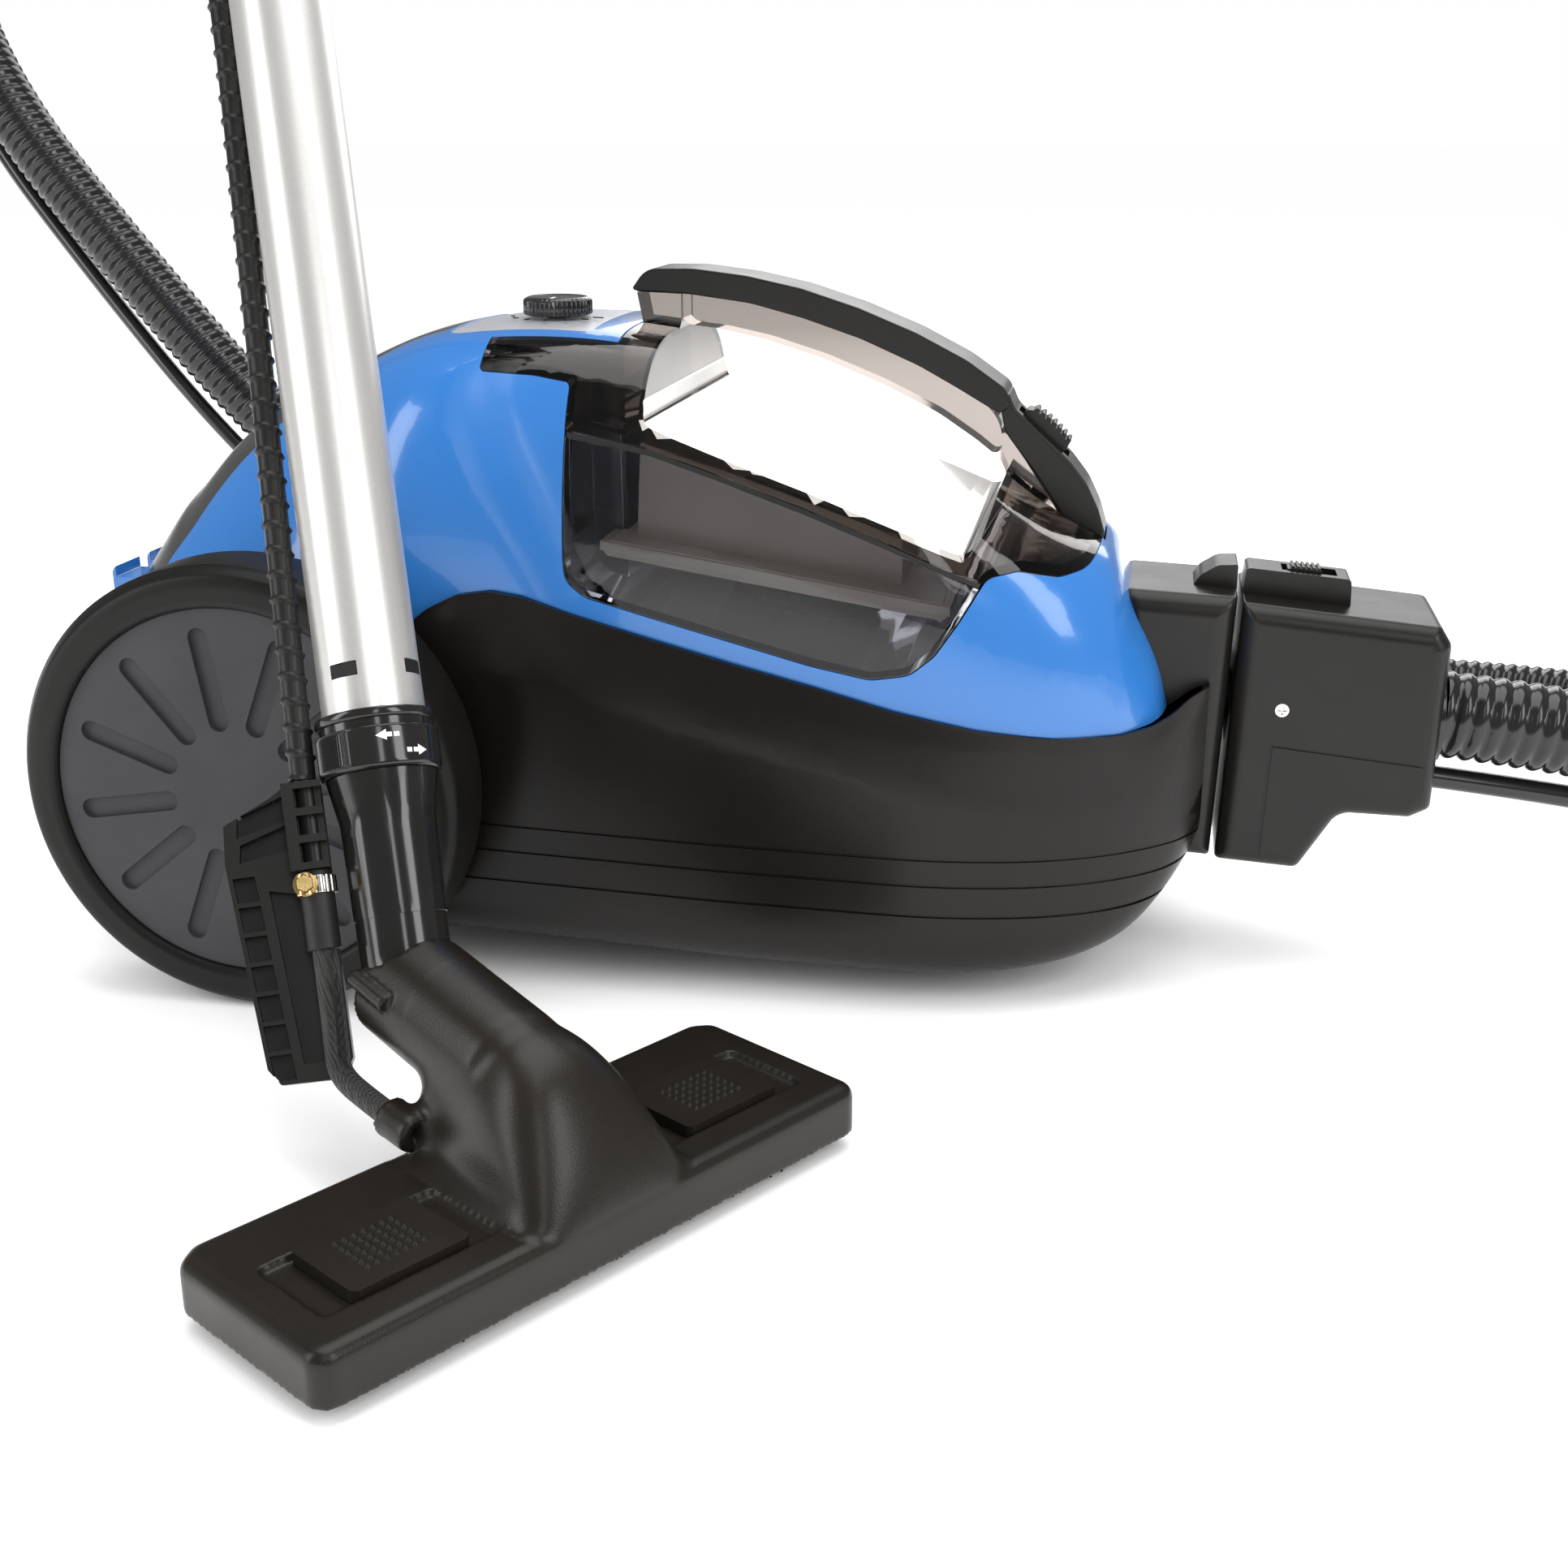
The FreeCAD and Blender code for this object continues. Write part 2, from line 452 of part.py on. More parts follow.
# ---------------------------------------------------------------------------
# Rear wheels: stub axle, hub with twelve recessed slots, tyre, cap
# ---------------------------------------------------------------------------
stubs = []
for s, tag in ((-1, "right"), (1, "left")):
    yi, yo = s * WHEEL_IN, s * WHEEL_OUT
    axle = cyl(AXLE_R, (0, s * 62, WHEEL_R), (0, s * 146, WHEEL_R))
    stubs.append(axle)
    hub = fuse(cyl(HUB_R, (0, s * 141.5, WHEEL_R), (0, s * 146.5, WHEEL_R)), ring(HUB_R, HUB_R - 4, (0, s * 112, WHEEL_R), (0, s * 141.5, WHEEL_R)),
               cyl(12, (0, s * 112, WHEEL_R), (0, s * 141.5, WHEEL_R)))
    for i in range(6):
        rib = box(10, HUB_R - 2, -1.5, 1.5, 0, 22)
        rib.rotate(V(0, 0, 0), V(1, 0, 0), 90 * -s)
        rib.rotate(V(0, 0, 0), V(0, 1, 0), 60 * i + 15)
        rib.translate(V(0, s * 120 if s > 0 else s * 120, WHEEL_R))
        hub = hub.fuse(rib)
    for i in range(12):
        a = math.radians(30 * i + 9)
        c1, c2 = 31.0, 66.0
        p1 = (c1 * math.cos(a), WHEEL_R + c1 * math.sin(a))
        p2 = (c2 * math.cos(a), WHEEL_R + c2 * math.sin(a))
        y0 = min(s * 144.0, s * 147)
        sl1 = Part.makeCylinder(4.2, 3, V(p1[0], y0, p1[1]), V(0, 1, 0))
        sl2 = Part.makeCylinder(4.2, 3, V(p2[0], y0, p2[1]), V(0, 1, 0))
        bar = Part.makeBox(c2 - c1, 3, 8.4, V(0, 0, -4.2))
        bar.rotate(V(0, 0, 0), V(0, 1, 0), -math.degrees(a))
        bar.translate(V(p1[0], y0, p1[1]))
        hub = hub.cut(fuse(sl1, sl2, bar))
    hub = hub.cut(cyl(AXLE_R + 0.05, (0, s * 105, WHEEL_R), (0, s * 146.2, WHEEL_R)))
    hub = hub.removeSplitter()
    print("hub", [round(v.Volume) for v in hub.Solids])
    put("wheel_hub_" + tag, sorted(hub.Solids, key=lambda q: -q.Volume)[0])
    prof = [V(HUB_R, s * 112, 0), V(90, s * 110, 0), V(WHEEL_R, s * 116, 0), V(WHEEL_R, s * 143, 0), V(91.5, s * 148.5, 0), V(86, s * 150, 0), V(HUB_R + 2.5, s * 150, 0), V(HUB_R, s * 148, 0)]
    prof = [V(p.x, p.y, 0) for p in prof]
    tyre = Part.Face(Part.makePolygon(prof + [prof[0]])).revolve(V(0, 0, 0), V(0, 1, 0), 360)
    tyre = tyre.cut(cyl(HUB_R, (0, s * 100, 0), (0, s * 160, 0)))
    tyre.translate(V(0, 0, WHEEL_R))
    put("tyre_" + tag, tyre if tyre.Volume > 0 else tyre.reversed())

put("stub_axles", Part.makeCompound(stubs))

# front caster
PIN_Z0 = 44.6
fork = fuse(cyl(15, (CX, 0, PIN_Z0), (CX, 0, 49)), cyl(4.0, (CX, 0, 49), (CX, 0, 71)), cyl(8, (CX, 0, 49), (CX, 0, 57.6)))
for s in (-1, 1):
    y0, y1 = (8.6, 12.6) if s > 0 else (-12.6, -8.6)
    cheek = prism_xz([(CX - 9, 49, 2), (CX + 10, 49, 2), (CX - 6, 13, 6), (CX - 22, 13, 6), (CX - 20, 27, 6)], y0, y1, 4)
    fork = fork.fuse(cheek)
CAX = CX - 13.0
fork = fork.cut(cyl(2.0, (CAX, -20, CASTER_R), (CAX, 20, CASTER_R))).removeSplitter()
put("caster_fork", fork)
put("caster_axle", cyl(2.0, (CAX, -13.2, CASTER_R), (CAX, 13.2, CASTER_R)))
cw = cyl(CASTER_R, (CAX, -8.2, CASTER_R), (CAX, 8.2, CASTER_R)).cut(cyl(2.05, (CAX, -9, CASTER_R), (CAX, 9, CASTER_R)))
cw = try_fillet(cw, 2.5, lambda e: e.BoundBox.XLength > 30 and e.BoundBox.YLength < 0.01)
put("caster_wheel", cw)

# ---------------------------------------------------------------------------
# Suction port and hose connector, clipped to the nose
# ---------------------------------------------------------------------------
PW = 36.0
tilt = math.radians(0.0)
port = prism_xz([(346, 54, 0), (395.3, 52.0, 1), (399.4, 167.5, 1), (352, 169.5, 4)], -PW, PW, 1)
port = try_fillet(port, 9.0, lambda e: e.BoundBox.XLength > 40 and e.BoundBox.YLength < 0.01 and e.CenterOfMass.z > 150)
port = port.cut(body_solid).cut(cyl(16.5, (330, 0, DUCT_Z), (420, 0, DUCT_Z)))
port = sorted(port.Solids, key=lambda s: -s.Volume)[0]
spigot = ring(19.9, 16.5, (345, 0, DUCT_Z), (372, 0, DUCT_Z))
spigot = spigot.cut(port)
port = port.fuse(spigot.cut(LOW.cut(LOW_IN).fuse(UP.cut(UP_IN)).cut(duct_hole)))
port = sorted(port.removeSplitter().Solids, key=lambda s: -s.Volume)[0]
bump = prism_xz([(381, 167.8, 0), (399.5, 166.8, 0), (399.5, 177.5, 1), (391, 177, 6), (384, 172.5, 6)], -12, 12, 1)
port = port.fuse(bump.cut(port)).removeSplitter()
put("front_port", sorted(port.Solids, key=lambda s: -s.Volume)[0])
gap = 1.6
CONN = [(397.4, 51.0, 2), (432.6, 49.0, 4), (448, 75.3, 9), (477, 75.0, 4), (485.4, 79.6, 3), (487.0, 151, 6), (482, 158.5, 4), (401.6, 165.5, 1)]
conn = prism_xz(CONN, -PW, PW, 3)
conn = try_fillet(conn, 8.0, lambda e: e.BoundBox.XLength > 60 and e.BoundBox.YLength < 0.01 and e.CenterOfMass.z > 150)
inner = prism_w(round_wire([(V(x, 0, z), r) for x, z, r in CONN]).makeOffset2D(-3.0, 0, False, False, True), -PW + 3, PW - 3)
inner = inner.common(box(404, 482, -60, 60, 0, 152))
bore = cyl(16.5, (390, 0, DUCT_Z), (500, 0, DUCT_Z))
hose_bore = cyl(HOSE_R + 1.6, (472, 0, DUCT_Z), (500, 0, DUCT_Z))
wbore = cyl(WATER_R + 0.3, (470, 0, DUCT_Z - 28.5), (500, 0, DUCT_Z - 28.5))
conn = conn.cut(inner).cut(bore).cut(hose_bore).cut(wbore)
# shallow step lines on both flanks
for s in (-1, 1):
    y0, y1 = (PW - 0.7, PW + 1) if s > 0 else (-PW - 1, -PW + 0.7)
    step = prism_xz([(414, 46, 0), (417.0, 106, 0), (500, 98.5, 0), (500, 30, 0), (414, 30, 0)], y0, y1, 0)
    rim = prism_xz([(415.2, 30, 0), (418.1, 104.7, 0), (500, 97.2, 0), (500, 30, 0)], y0 - 1, y1 + 1, 0)
    conn = conn.cut(step.cut(rim))
SCR = [(420.7, 121.0)]          # one cross-head screw closes the connector
for sx, sz in SCR:
    conn = conn.fuse(cyl(4.5, (sx, -PW + 2, sz), (sx, PW - 2, sz)).common(prism_xz(CONN, -PW, PW, 3)))
    conn = conn.cut(cyl(1.6, (sx, -PW - 1, sz), (sx, 26, sz))).cut(cyl(3.1, (sx, -PW - 1, sz), (sx, -PW + 2.2, sz)))
conn = conn.cut(bore).cut(hose_bore).removeSplitter()
latch_plate = prism_xz([(402.0, 164.9, 0), (447.0, 161.0, 0), (446.6, 172.6, 2), (403, 176.2, 2)], -11, 11, 1)
latch_plate = latch_plate.cut(prism_xz([(418, 180, 0), (418, 168.6, 0), (441, 166.8, 0), (441, 180, 0)], -6.4, 6.4, 0))
near = conn.common(box(380, 520, -80, 0, 0, 220))
far = conn.common(box(380, 520, 0, 80, 0, 220))
near = sorted(near.Solids, key=lambda s: -s.Volume)[0]
far = sorted(far.Solids, key=lambda s: -s.Volume)[0]
put("connector_shell_right", near)
lp = sorted(latch_plate.cut(conn).Solids, key=lambda s: -s.Volume)[0]
put("connector_shell_left", sorted(far.fuse(lp).removeSplitter().Solids, key=lambda s: -s.Volume)[0])
tg = [(419.8, 168.8, 0), (434.2, 167.7, 0), (434.6, 174.4, 0.5)]
n_t = 6
for i in range(n_t):
    x1 = 434.0 - i * 2.2
    tg += [(x1, 175.8 + 0.15 * i, 0.3), (x1 - 1.1, 175.9 + 0.15 * i, 0.3), (x1 - 1.5, 174.6 + 0.15 * i, 0.2)]
tg += [(420.2, 175.4, 0.5)]
put("latch_slide", prism_xz(tg, -6.0, 6.0, 0.3))
screws = []
for sx, sz in SCR:
    sc = fuse(cyl(3.0, (sx, -PW + 0.3, sz), (sx, -PW + 2.2, sz)), cyl(1.5, (sx, -PW + 2.2, sz), (sx, -10, sz)))
    sc = sc.cut(box(sx - 1.8, sx + 1.8, -PW - 1, -PW + 1.1, sz - 0.35, sz + 0.35)).cut(box(sx - 0.35, sx + 0.35, -PW - 1, -PW + 1.1, sz - 1.8, sz + 1.8))
    screws.append(sc)
put("connector_screws", Part.makeCompound(screws))
cuff = ring(HOSE_R + 1.5, HOSE_R - 2.5, (474, 0, DUCT_Z), (489.5, 0, DUCT_Z))
put("hose_cuff", cuff)

# ---------------------------------------------------------------------------
# Wand: axis through RG, unit vector T up the wand; E to its left side
# ---------------------------------------------------------------------------
RG = V(92.24, -217.49, 154.09)
T = V(-0.2338, 0.4006, 0.8859)
T.normalize()
E = V(-0.9139, -0.4020, -0.0594)
E = E - T * E.dot(T)
E.normalize()
N = E.cross(T)
N.normalize()
if N.y > 0:
    N = N * -1            # N points to the front side of the wand


def wp(a, e=0.0, n=0.0):
    return RG + T * a + E * e + N * n


def wcyl(r, a0, a1, e=0.0, n=0.0):
    return Part.makeCylinder(r, a1 - a0, wp(a0, e, n), T)


def wcone(r0, r1, a0, a1):
    return Part.makeCone(r0, r1, a1 - a0, wp(a0), T)


def wbox(a0, a1, e0, e1, n0, n1):
    pts = [wp(a0, e0, n0), wp(a0, e1, n0), wp(a0, e1, n1), wp(a0, e0, n1)]
    return Part.Face(Part.makePolygon(pts + [pts[0]])).extrude(T * (a1 - a0))


lower_tube = wcyl(TUBE_R, -18, LOWER_TUBE).cut(wcyl(TUBE_R - TUBE_WALL, -20, LOWER_TUBE + 1))
pins = []
for ang in (28.0, -62.0):
    c, s_ = math.cos(math.radians(ang)), math.sin(math.radians(ang))
    # windows face the front left and the right flank
    d1 = N * c + E * s_
    d2 = N * -s_ + E * c
    o0 = wp(15.0)
    q = [o0 + d1 * (TUBE_R - 4) + d2 * u + T * v for u, v in ((-5.2, -2.6), (5.2, -2.6), (5.2, 2.6), (-5.2, 2.6))]
    win = Part.Face(Part.makePolygon(q + [q[0]])).extrude(d1 * 8)
    lower_tube = lower_tube.cut(win)
    q2 = [o0 + d1 * (TUBE_R - 4.2) + d2 * u + T * v for u, v in ((-4.9, -2.3), (4.9, -2.3), (4.9, 2.3), (-4.9, 2.3))]
    pins.append(Part.Face(Part.makePolygon(q2 + [q2[0]])).extrude(d1 * 3.6).cut(wcyl(TUBE_R - TUBE_WALL - 2.4, 0, 40)))
put("wand_lower_tube", lower_tube)
lock_sleeve = wcyl(TUBE_R - TUBE_WALL - 0.05, -18, 24).cut(wcyl(TUBE_R - TUBE_WALL - 2.0, -19, 25))
lock_sleeve = lock_sleeve.fuse(pins[0]).fuse(pins[1]).cut(lower_tube)
put("tube_lock_sleeve", sorted(lock_sleeve.removeSplitter().Solids, key=lambda s: -s.Volume)[0])
collar = fuse(wcyl(21.6, -21.5, -6.5), wcyl(20.2, -6.5, -3.6), wcyl(21.2, -3.6, 0.0)).cut(wcyl(TUBE_R + 0.35, -30, 2))
collar = try_fillet(collar, 0.8, lambda e: e.Length > 120 and abs((e.CenterOfMass - wp(-21.5)).Length) < 0.5)
put("lock_collar", collar)

Q = V(114.74, -256.04, 68.83)
HA = math.radians(57.0)
AH = V(math.cos(HA), math.sin(HA), 0)          # along the nozzle head
DH = V(math.sin(HA), -math.cos(HA), 0)         # towards the head's front
TILT = math.radians(13.0)
SD = DH * math.cos(TILT) + V(0, 0, -math.sin(TILT))
# elbow: tapered socket under the collar, tube, bend into the nozzle sleeve
LQ = (RG - Q).Length
bend_r = 24.0
turn = T.getAngle(SD * -1)
half = turn / 2
tl = bend_r * math.tan(half)
pA = Q + T * tl
pB = Q + SD * tl
bis = (T + SD)
bis.normalize()
cen = Q + bis * math.hypot(bend_r, tl)
mid = cen - bis * bend_r
nose_end = Q + SD * (tl + 34)
path = Part.Wire([Part.LineSegment(pA + T * 14, pA).toShape(), Part.Arc(pA, mid, pB).toShape(), Part.LineSegment(pB, nose_end).toShape()])


def pipe(r, w, start, direction):
    c = Part.Wire([Part.Circle(start, direction, r).toShape()])
    return w.makePipeShell([c], True, False)


a_top = -21.8
a_pA = -(wp(0) - (pA + T * 14)).Length
elbow_o = pipe(16.0, path, pA + T * 14, T * -1)
elbow_i = pipe(13.2, path, pA + T * 14, T * -1)
sock_o = fuse(wcone(16.3, 17.0, a_pA - 2.0, -38), wcone(17.0, 19.8, -38, a_top))
elbow = elbow_o.fuse(sock_o)
# spigot inside the collar that the tube sits in
elbow = elbow.cut(elbow_i).cut(wcone(13.0, 15.2, a_pA - 1.5, a_top + 0.5))
print("elbow", [round(s.Volume) for s in elbow.Solids], elbow.isValid(), "tl", tl, "turn", math.degrees(turn))
put("nozzle_elbow", sorted(elbow.Solids, key=lambda s: -s.Volume)[0])

upper0 = LOWER_TUBE + 24
coupling = fuse(wcyl(21.0, LOWER_TUBE - 14, upper0 + 4), wcyl(22.6, LOWER_TUBE + 2, LOWER_TUBE + 16)).cut(wcyl(TUBE_R, LOWER_TUBE - 20, LOWER_TUBE)).cut(wcyl(TUBE_R, upper0 - 8, upper0 + 10)).cut(wcyl(TUBE_R - 3, LOWER_TUBE - 20, upper0 + 20)).cut(wcyl(5.25, LOWER_TUBE - 30, upper0 + 30, 21.3, -12.0))
put("wand_coupling", coupling)
upper_tube = wcyl(TUBE_R, upper0 - 8, upper0 + UPPER_TUBE).cut(wcyl(TUBE_R - TUBE_WALL, upper0 - 9, upper0 + UPPER_TUBE + 1))
put("wand_upper_tube", upper_tube)
A2 = upper0 + UPPER_TUBE

# bent handle at the top of the wand
LEAN = V(-0.503, 0.864, 0)
HD = LEAN * math.sin(math.radians(74)) + V(0, 0, math.cos(math.radians(74)))
HD.normalize()
hq = wp(A2 + 55)
turn2 = T.getAngle(HD)
br = 60.0
tl2 = br * math.tan(turn2 / 2)
p1 = hq - T * tl2
p2 = hq + HD * tl2
bis2 = HD - T
bis2.normalize()
cen2 = hq + bis2 * math.hypot(br, tl2)
mid2 = cen2 - bis2 * br
GRIP_LEN = 128.0
p3 = p2 + HD * GRIP_LEN
st = wp(A2 - 30)
hpath = Part.Wire([Part.LineSegment(st, p1).toShape(), Part.Arc(p1, mid2, p2).toShape(), Part.LineSegment(p2, p3).toShape()])
hand_o = pipe(21.0, hpath, st, T)
hand_i = pipe(15.5, hpath, st, T)
hand = hand_o.cut(hand_i).cut(wcyl(TUBE_R, A2 - 31, A2))
# trigger slot and relief window on the grip
HN = HD.cross(V(0, 0, 1).cross(HD))
HN.normalize()
HY = HD.cross(HN)
HY.normalize()


def hbox(a0, a1, y0, y1, n0, n1):
    pts = [p2 + HD * a0 + HY * y + HN * n for y, n in ((y0, n0), (y1, n0), (y1, n1), (y0, n1))]
    return Part.Face(Part.makePolygon(pts + [pts[0]])).extrude(HD * (a1 - a0))


hand = hand.cut(hbox(30, 58, -8, 8, 18.0, 24))
hand = hand.cut(hbox(34, 46, -5, 5, 10, 24))
mouth_r = 18.9
hand = hand.cut(Part.makeCylinder(18.2, 20, p3 - HD * 18, HD))
# trigger lugs under the bend
TRG = p1 + HD * 0 - HN * 0
lug0 = wp(A2 + 4, 0, 0)
put("handle_pipe", sorted(hand.removeSplitter().Solids, key=lambda s: -s.Volume)[0])
relief = hbox(31, 45, -7.6, 7.6, 18.3, 21.5).fuse(hbox(35, 41, -6.5, 6.5, 21.5, 23.2)).removeSplitter()
put("suction_relief_slide", relief)
# spray trigger block on the underside of the pipe's straight end
down = T.cross(E)
if down.dot(LEAN) < 0:
    down = down * -1
down.normalize()


def tb(a0, a1, e0, e1, n0, n1):
    pts = [wp(a0) + E * e + down * n for e, n in ((e0, n0), (e1, n0), (e1, n1), (e0, n1))]
    return Part.Face(Part.makePolygon(pts + [pts[0]])).extrude(T * (a1 - a0))


block = tb(A2 - 28, A2 + 8, -9, 9, 20.2, 38).cut(wcyl(21.0, A2 - 40, A2 + 30)).cut(tb(A2 - 24, A2 + 9, -5.2, 5.2, 27, 40)).cut(hand_o)
block = sorted(block.Solids, key=lambda s: -s.Volume)[0]
tpin_c = wp(A2 - 20) + down * 33
block = block.cut(Part.makeCylinder(1.6, 20, tpin_c - E * 10, E))
trig = tb(A2 - 23, A2 + 10, -4.8, 4.8, 30.5, 36.0).fuse(tb(A2 + 2, A2 + 10, -4.8, 4.8, 34, 46)).fuse(Part.makeCylinder(1.55, 17.6, tpin_c - E * 8.8, E)).removeSplitter()
put("spray_trigger", trig)
hcuff = Part.makeCylinder(23.5, 34, p3 - HD * 6, HD).cut(Part.makeCylinder(21.0, 6.0, p3 - HD * 6, HD)).cut(Part.makeCylinder(HOSE_R, 40, p3 - HD * 7, HD).common(Part.makeCylinder(HOSE_R, 40, p3 + HD * 0, HD)))
put("hose_swivel_cuff", hcuff.removeSplitter())
print("handle end p3", p3, "p2", p2, "HD", HD, "A2", A2)

# ribbed water conduit up the wand's side, with two clips
WE = 27.3                      # conduit offset beside the collar
CE, CN = 21.3, -12.0           # conduit offset higher up, tucked behind the tube's flank
CLA = 260.0
cpath = Part.Wire([Part.LineSegment(wp(-20, WE, 0), wp(CLA - 30, WE + (CE - WE) * 250 / 280, CN * 250 / 280)).toShape(),
                   Part.Arc(wp(CLA - 30, WE + (CE - WE) * 250 / 280, CN * 250 / 280), wp(CLA + 0.0, WE + (CE - WE) * 0.973, CN * 0.973), wp(CLA + 30, CE, CN)).toShape(),
                   Part.LineSegment(wp(CLA + 30, CE, CN), wp(A2 - 32, CE, CN)).toShape()])
cpts = [(wp(-20, WE, 0), 0), (wp(CLA, CE, CN), 4000), (wp(A2 - 32, CE, CN), 0)]
cpath = round_wire(cpts, closed=False)
conduit = pipe(5.2, cpath, cpts[0][0], cpts[1][0] - cpts[0][0])
put("wand_water_tube", conduit)
clips = []
for a in (LOWER_TUBE - 60, LOWER_TUBE + 180):
    c = fuse(wcyl(TUBE_R + 2.2, a, a + 12), wcyl(7.8, a, a + 12, CE, CN), wcyl(6.0, a, a + 12, 15.5, -9.0)).cut(wcyl(TUBE_R, a - 1, a + 13)).cut(wcyl(5.25, a - 1, a + 13, CE, CN)).cut(wbox(a - 1, a + 13, -30, -14.0, -9, 9))
    clips.append(sorted(c.removeSplitter().Solids, key=lambda q: -q.Volume)[0])
put("water_tube_clips", Part.makeCompound(clips))
vblock = wcyl(8.5, A2 - 32, A2 - 6, CE + 2.6, CN - 1.4).cut(wcyl(21.0, A2 - 40, A2 + 20))
vblock = vblock.fuse(tb(A2 - 28, A2 - 10, 5, 24, 19, 30).cut(wcyl(21.0, A2 - 40, A2 + 20))).fuse(block).cut(conduit)
vblock = sorted(vblock.removeSplitter().Solids, key=lambda q: -q.Volume)[0]
vblock = vblock.cut(tb(A2 - 24, A2 + 9, -5.2, 5.2, 27, 40))
put("trigger_housing", sorted(vblock.Solids, key=lambda q: -q.Volume)[0])

# park hook with ribs beside the elbow, and the ladder frame that joins it to the conduit
def plate(pts, n0, n1):
    q = [wp(a, e, n0) for a, e in pts]
    return Part.Face(Part.makePolygon(q + [q[0]])).extrude(N * (n1 - n0))


HOOK = [(-17, 31), (-23, 40), (-31, 57), (-45, 58), (-118, 52), (-124, 48), (-125, 26), (-118, 22.6), (-60, 23.0), (-52, 31)]
hook = plate(HOOK, -26, -8)
for i in range(7):
    a0 = -50 - i * 10.6
    hook = hook.cut(plate([(a0, 56.0 - 0.08 * (-a0 - 50)), (a0 - 9.0, 55.2 - 0.08 * (-a0 - 50)), (a0 - 9.0, 47.6 - 0.08 * (-a0 - 50)), (a0, 48.4 - 0.08 * (-a0 - 50))], -14, -7))
for k in range(2):
    hook = hook.cut(plate([(-22 - 11 * k, 33 + 1.5 * k), (-28.5 - 10 * k, 52), (-36 - 9 * k, 53), (-31 - 11 * k, 33)], -14, -7))
hook = hook.cut(plate([(-56, 44), (-118, 39.5), (-118, 26), (-60, 27)], -13, -7))
ladder = wbox(-52, -21, 21.6, 33.6, -9.5, 8.5).cut(wcyl(4.6, -60, -16, WE, 0)).cut(wcone(16.0, 20.2, -60, -21)).cut(wcyl(21.9, -60, -10))
for i in range(3):
    ladder = ladder.cut(wbox(-49.5 + 9.6 * i, -42.6 + 9.6 * i, 19, 31.6, 3.2, 9.5))
hook = hook.fuse(ladder).fuse(wbox(-52, -21, 31, 35, -14, 8.5).cut(wcyl(4.6, -60, -16, WE, 0))).cut(elbow).cut(wcyl(19.95, -60, -36)).cut(wcyl(22.1, -36, -10)).removeSplitter()
hook = hook.fuse(wcyl(4.6, -52, -20, WE, 0)).fuse(wcyl(3.0, -66, -52, WE, 0)).removeSplitter()
print("hook", [round(s.Volume) for s in hook.Solids])
put("park_hook", sorted(hook.Solids, key=lambda s: -s.Volume)[0])
# rubber tube, worm clamp, braided hose into the nozzle
rub = wcyl(5.9, -80, -52, WE, 0).cut(wcyl(3.0, -66, -51, WE, 0))
bhose_r = 4.0
wclamp = wcyl(7.0, -60.5, -54.0, WE, 0)
scr_d = wbox(-61.2, -53.2, WE - 0.5, WE + 9.5, 3.2, 10.4)
band = wclamp.fuse(scr_d).fuse(Part.makeCylinder(3.6, 3.0, wp(-57.2, WE + 4.5, 10.4), N)).cut(wcyl(5.9, -90, -50, WE, 0)).removeSplitter()
put("worm_clamp", sorted(band.Solids, key=lambda s: -s.Volume)[0])

# nozzle head ---------------------------------------------------------------
HC = V(171.9, -291.9, 0)


def hp(x, y, z=0.0):
    return HC + AH * x + DH * y + V(0, 0, z)


def hprism(pts, z0, z1):
    w = round_wire([(hp(p[0], p[1], z0), p[2]) for p in pts])
    return Part.Face(w).extrude(V(0, 0, z1 - z0))


def hbox2(x0, x1, y0, y1, z0, z1):
    return hprism([(x0, y0, 0), (x1, y0, 0), (x1, y1, 0), (x0, y1, 0)], z0, z1)


hl, hd = NOZ_L / 2, NOZ_D / 2
EDGE = [(-hl, -hd + 6, 7), (-hl + 8, -hd, 8), (hl - 8, -hd, 8), (hl, -hd + 6, 7), (hl, hd, 7), (-hl, hd, 7)]
base = hprism(EDGE, 6, NOZ_TOP)
base = try_fillet(base, 5.0, lambda e: abs(e.BoundBox.ZMin - NOZ_TOP) < 0.01 and abs(e.BoundBox.ZMax - NOZ_TOP) < 0.01)


def arch_wire(y, hw, top, z0=8.0, n=2.4):
    pts = []
    for k in range(17):
        a = math.pi * k / 16
        c, s_ = math.cos(a), math.sin(a)
        pts.append(hp(-hw * math.copysign(abs(c) ** (2 / n), c), y, z0 + (top - z0) * abs(s_) ** (2 / n)))
    cv = Part.BSplineCurve()
    cv.buildFromPoles(pts, False, 3)
    return Part.Wire([cv.toShape(), Part.LineSegment(pts[-1], pts[0]).toShape()])


dome = Part.makeLoft([arch_wire(-39, 24, 64), arch_wire(-24, 26, 72), (arch_wire(-8, 29, 74)), arch_wire(8, 32, 71), arch_wire(20, 34, 62), arch_wire(31, 36, 47), arch_wire(38, 37, 33), arch_wire(40.6, 37, 25)], True, False)
SLEEVE_R = 21.0
s0 = Q - SD * 4.0
sleeve = Part.makeCylinder(SLEEVE_R, 62, s0, SD)
body_h = base.fuse(dome).fuse(sleeve)
bore_h = Part.makeCylinder(16.05, 60, s0 - SD * 1, SD)
throat = Part.makeCylinder(14.0, 82, s0, SD).common(hbox2(-40, 40, -120, 34, 12, 90))
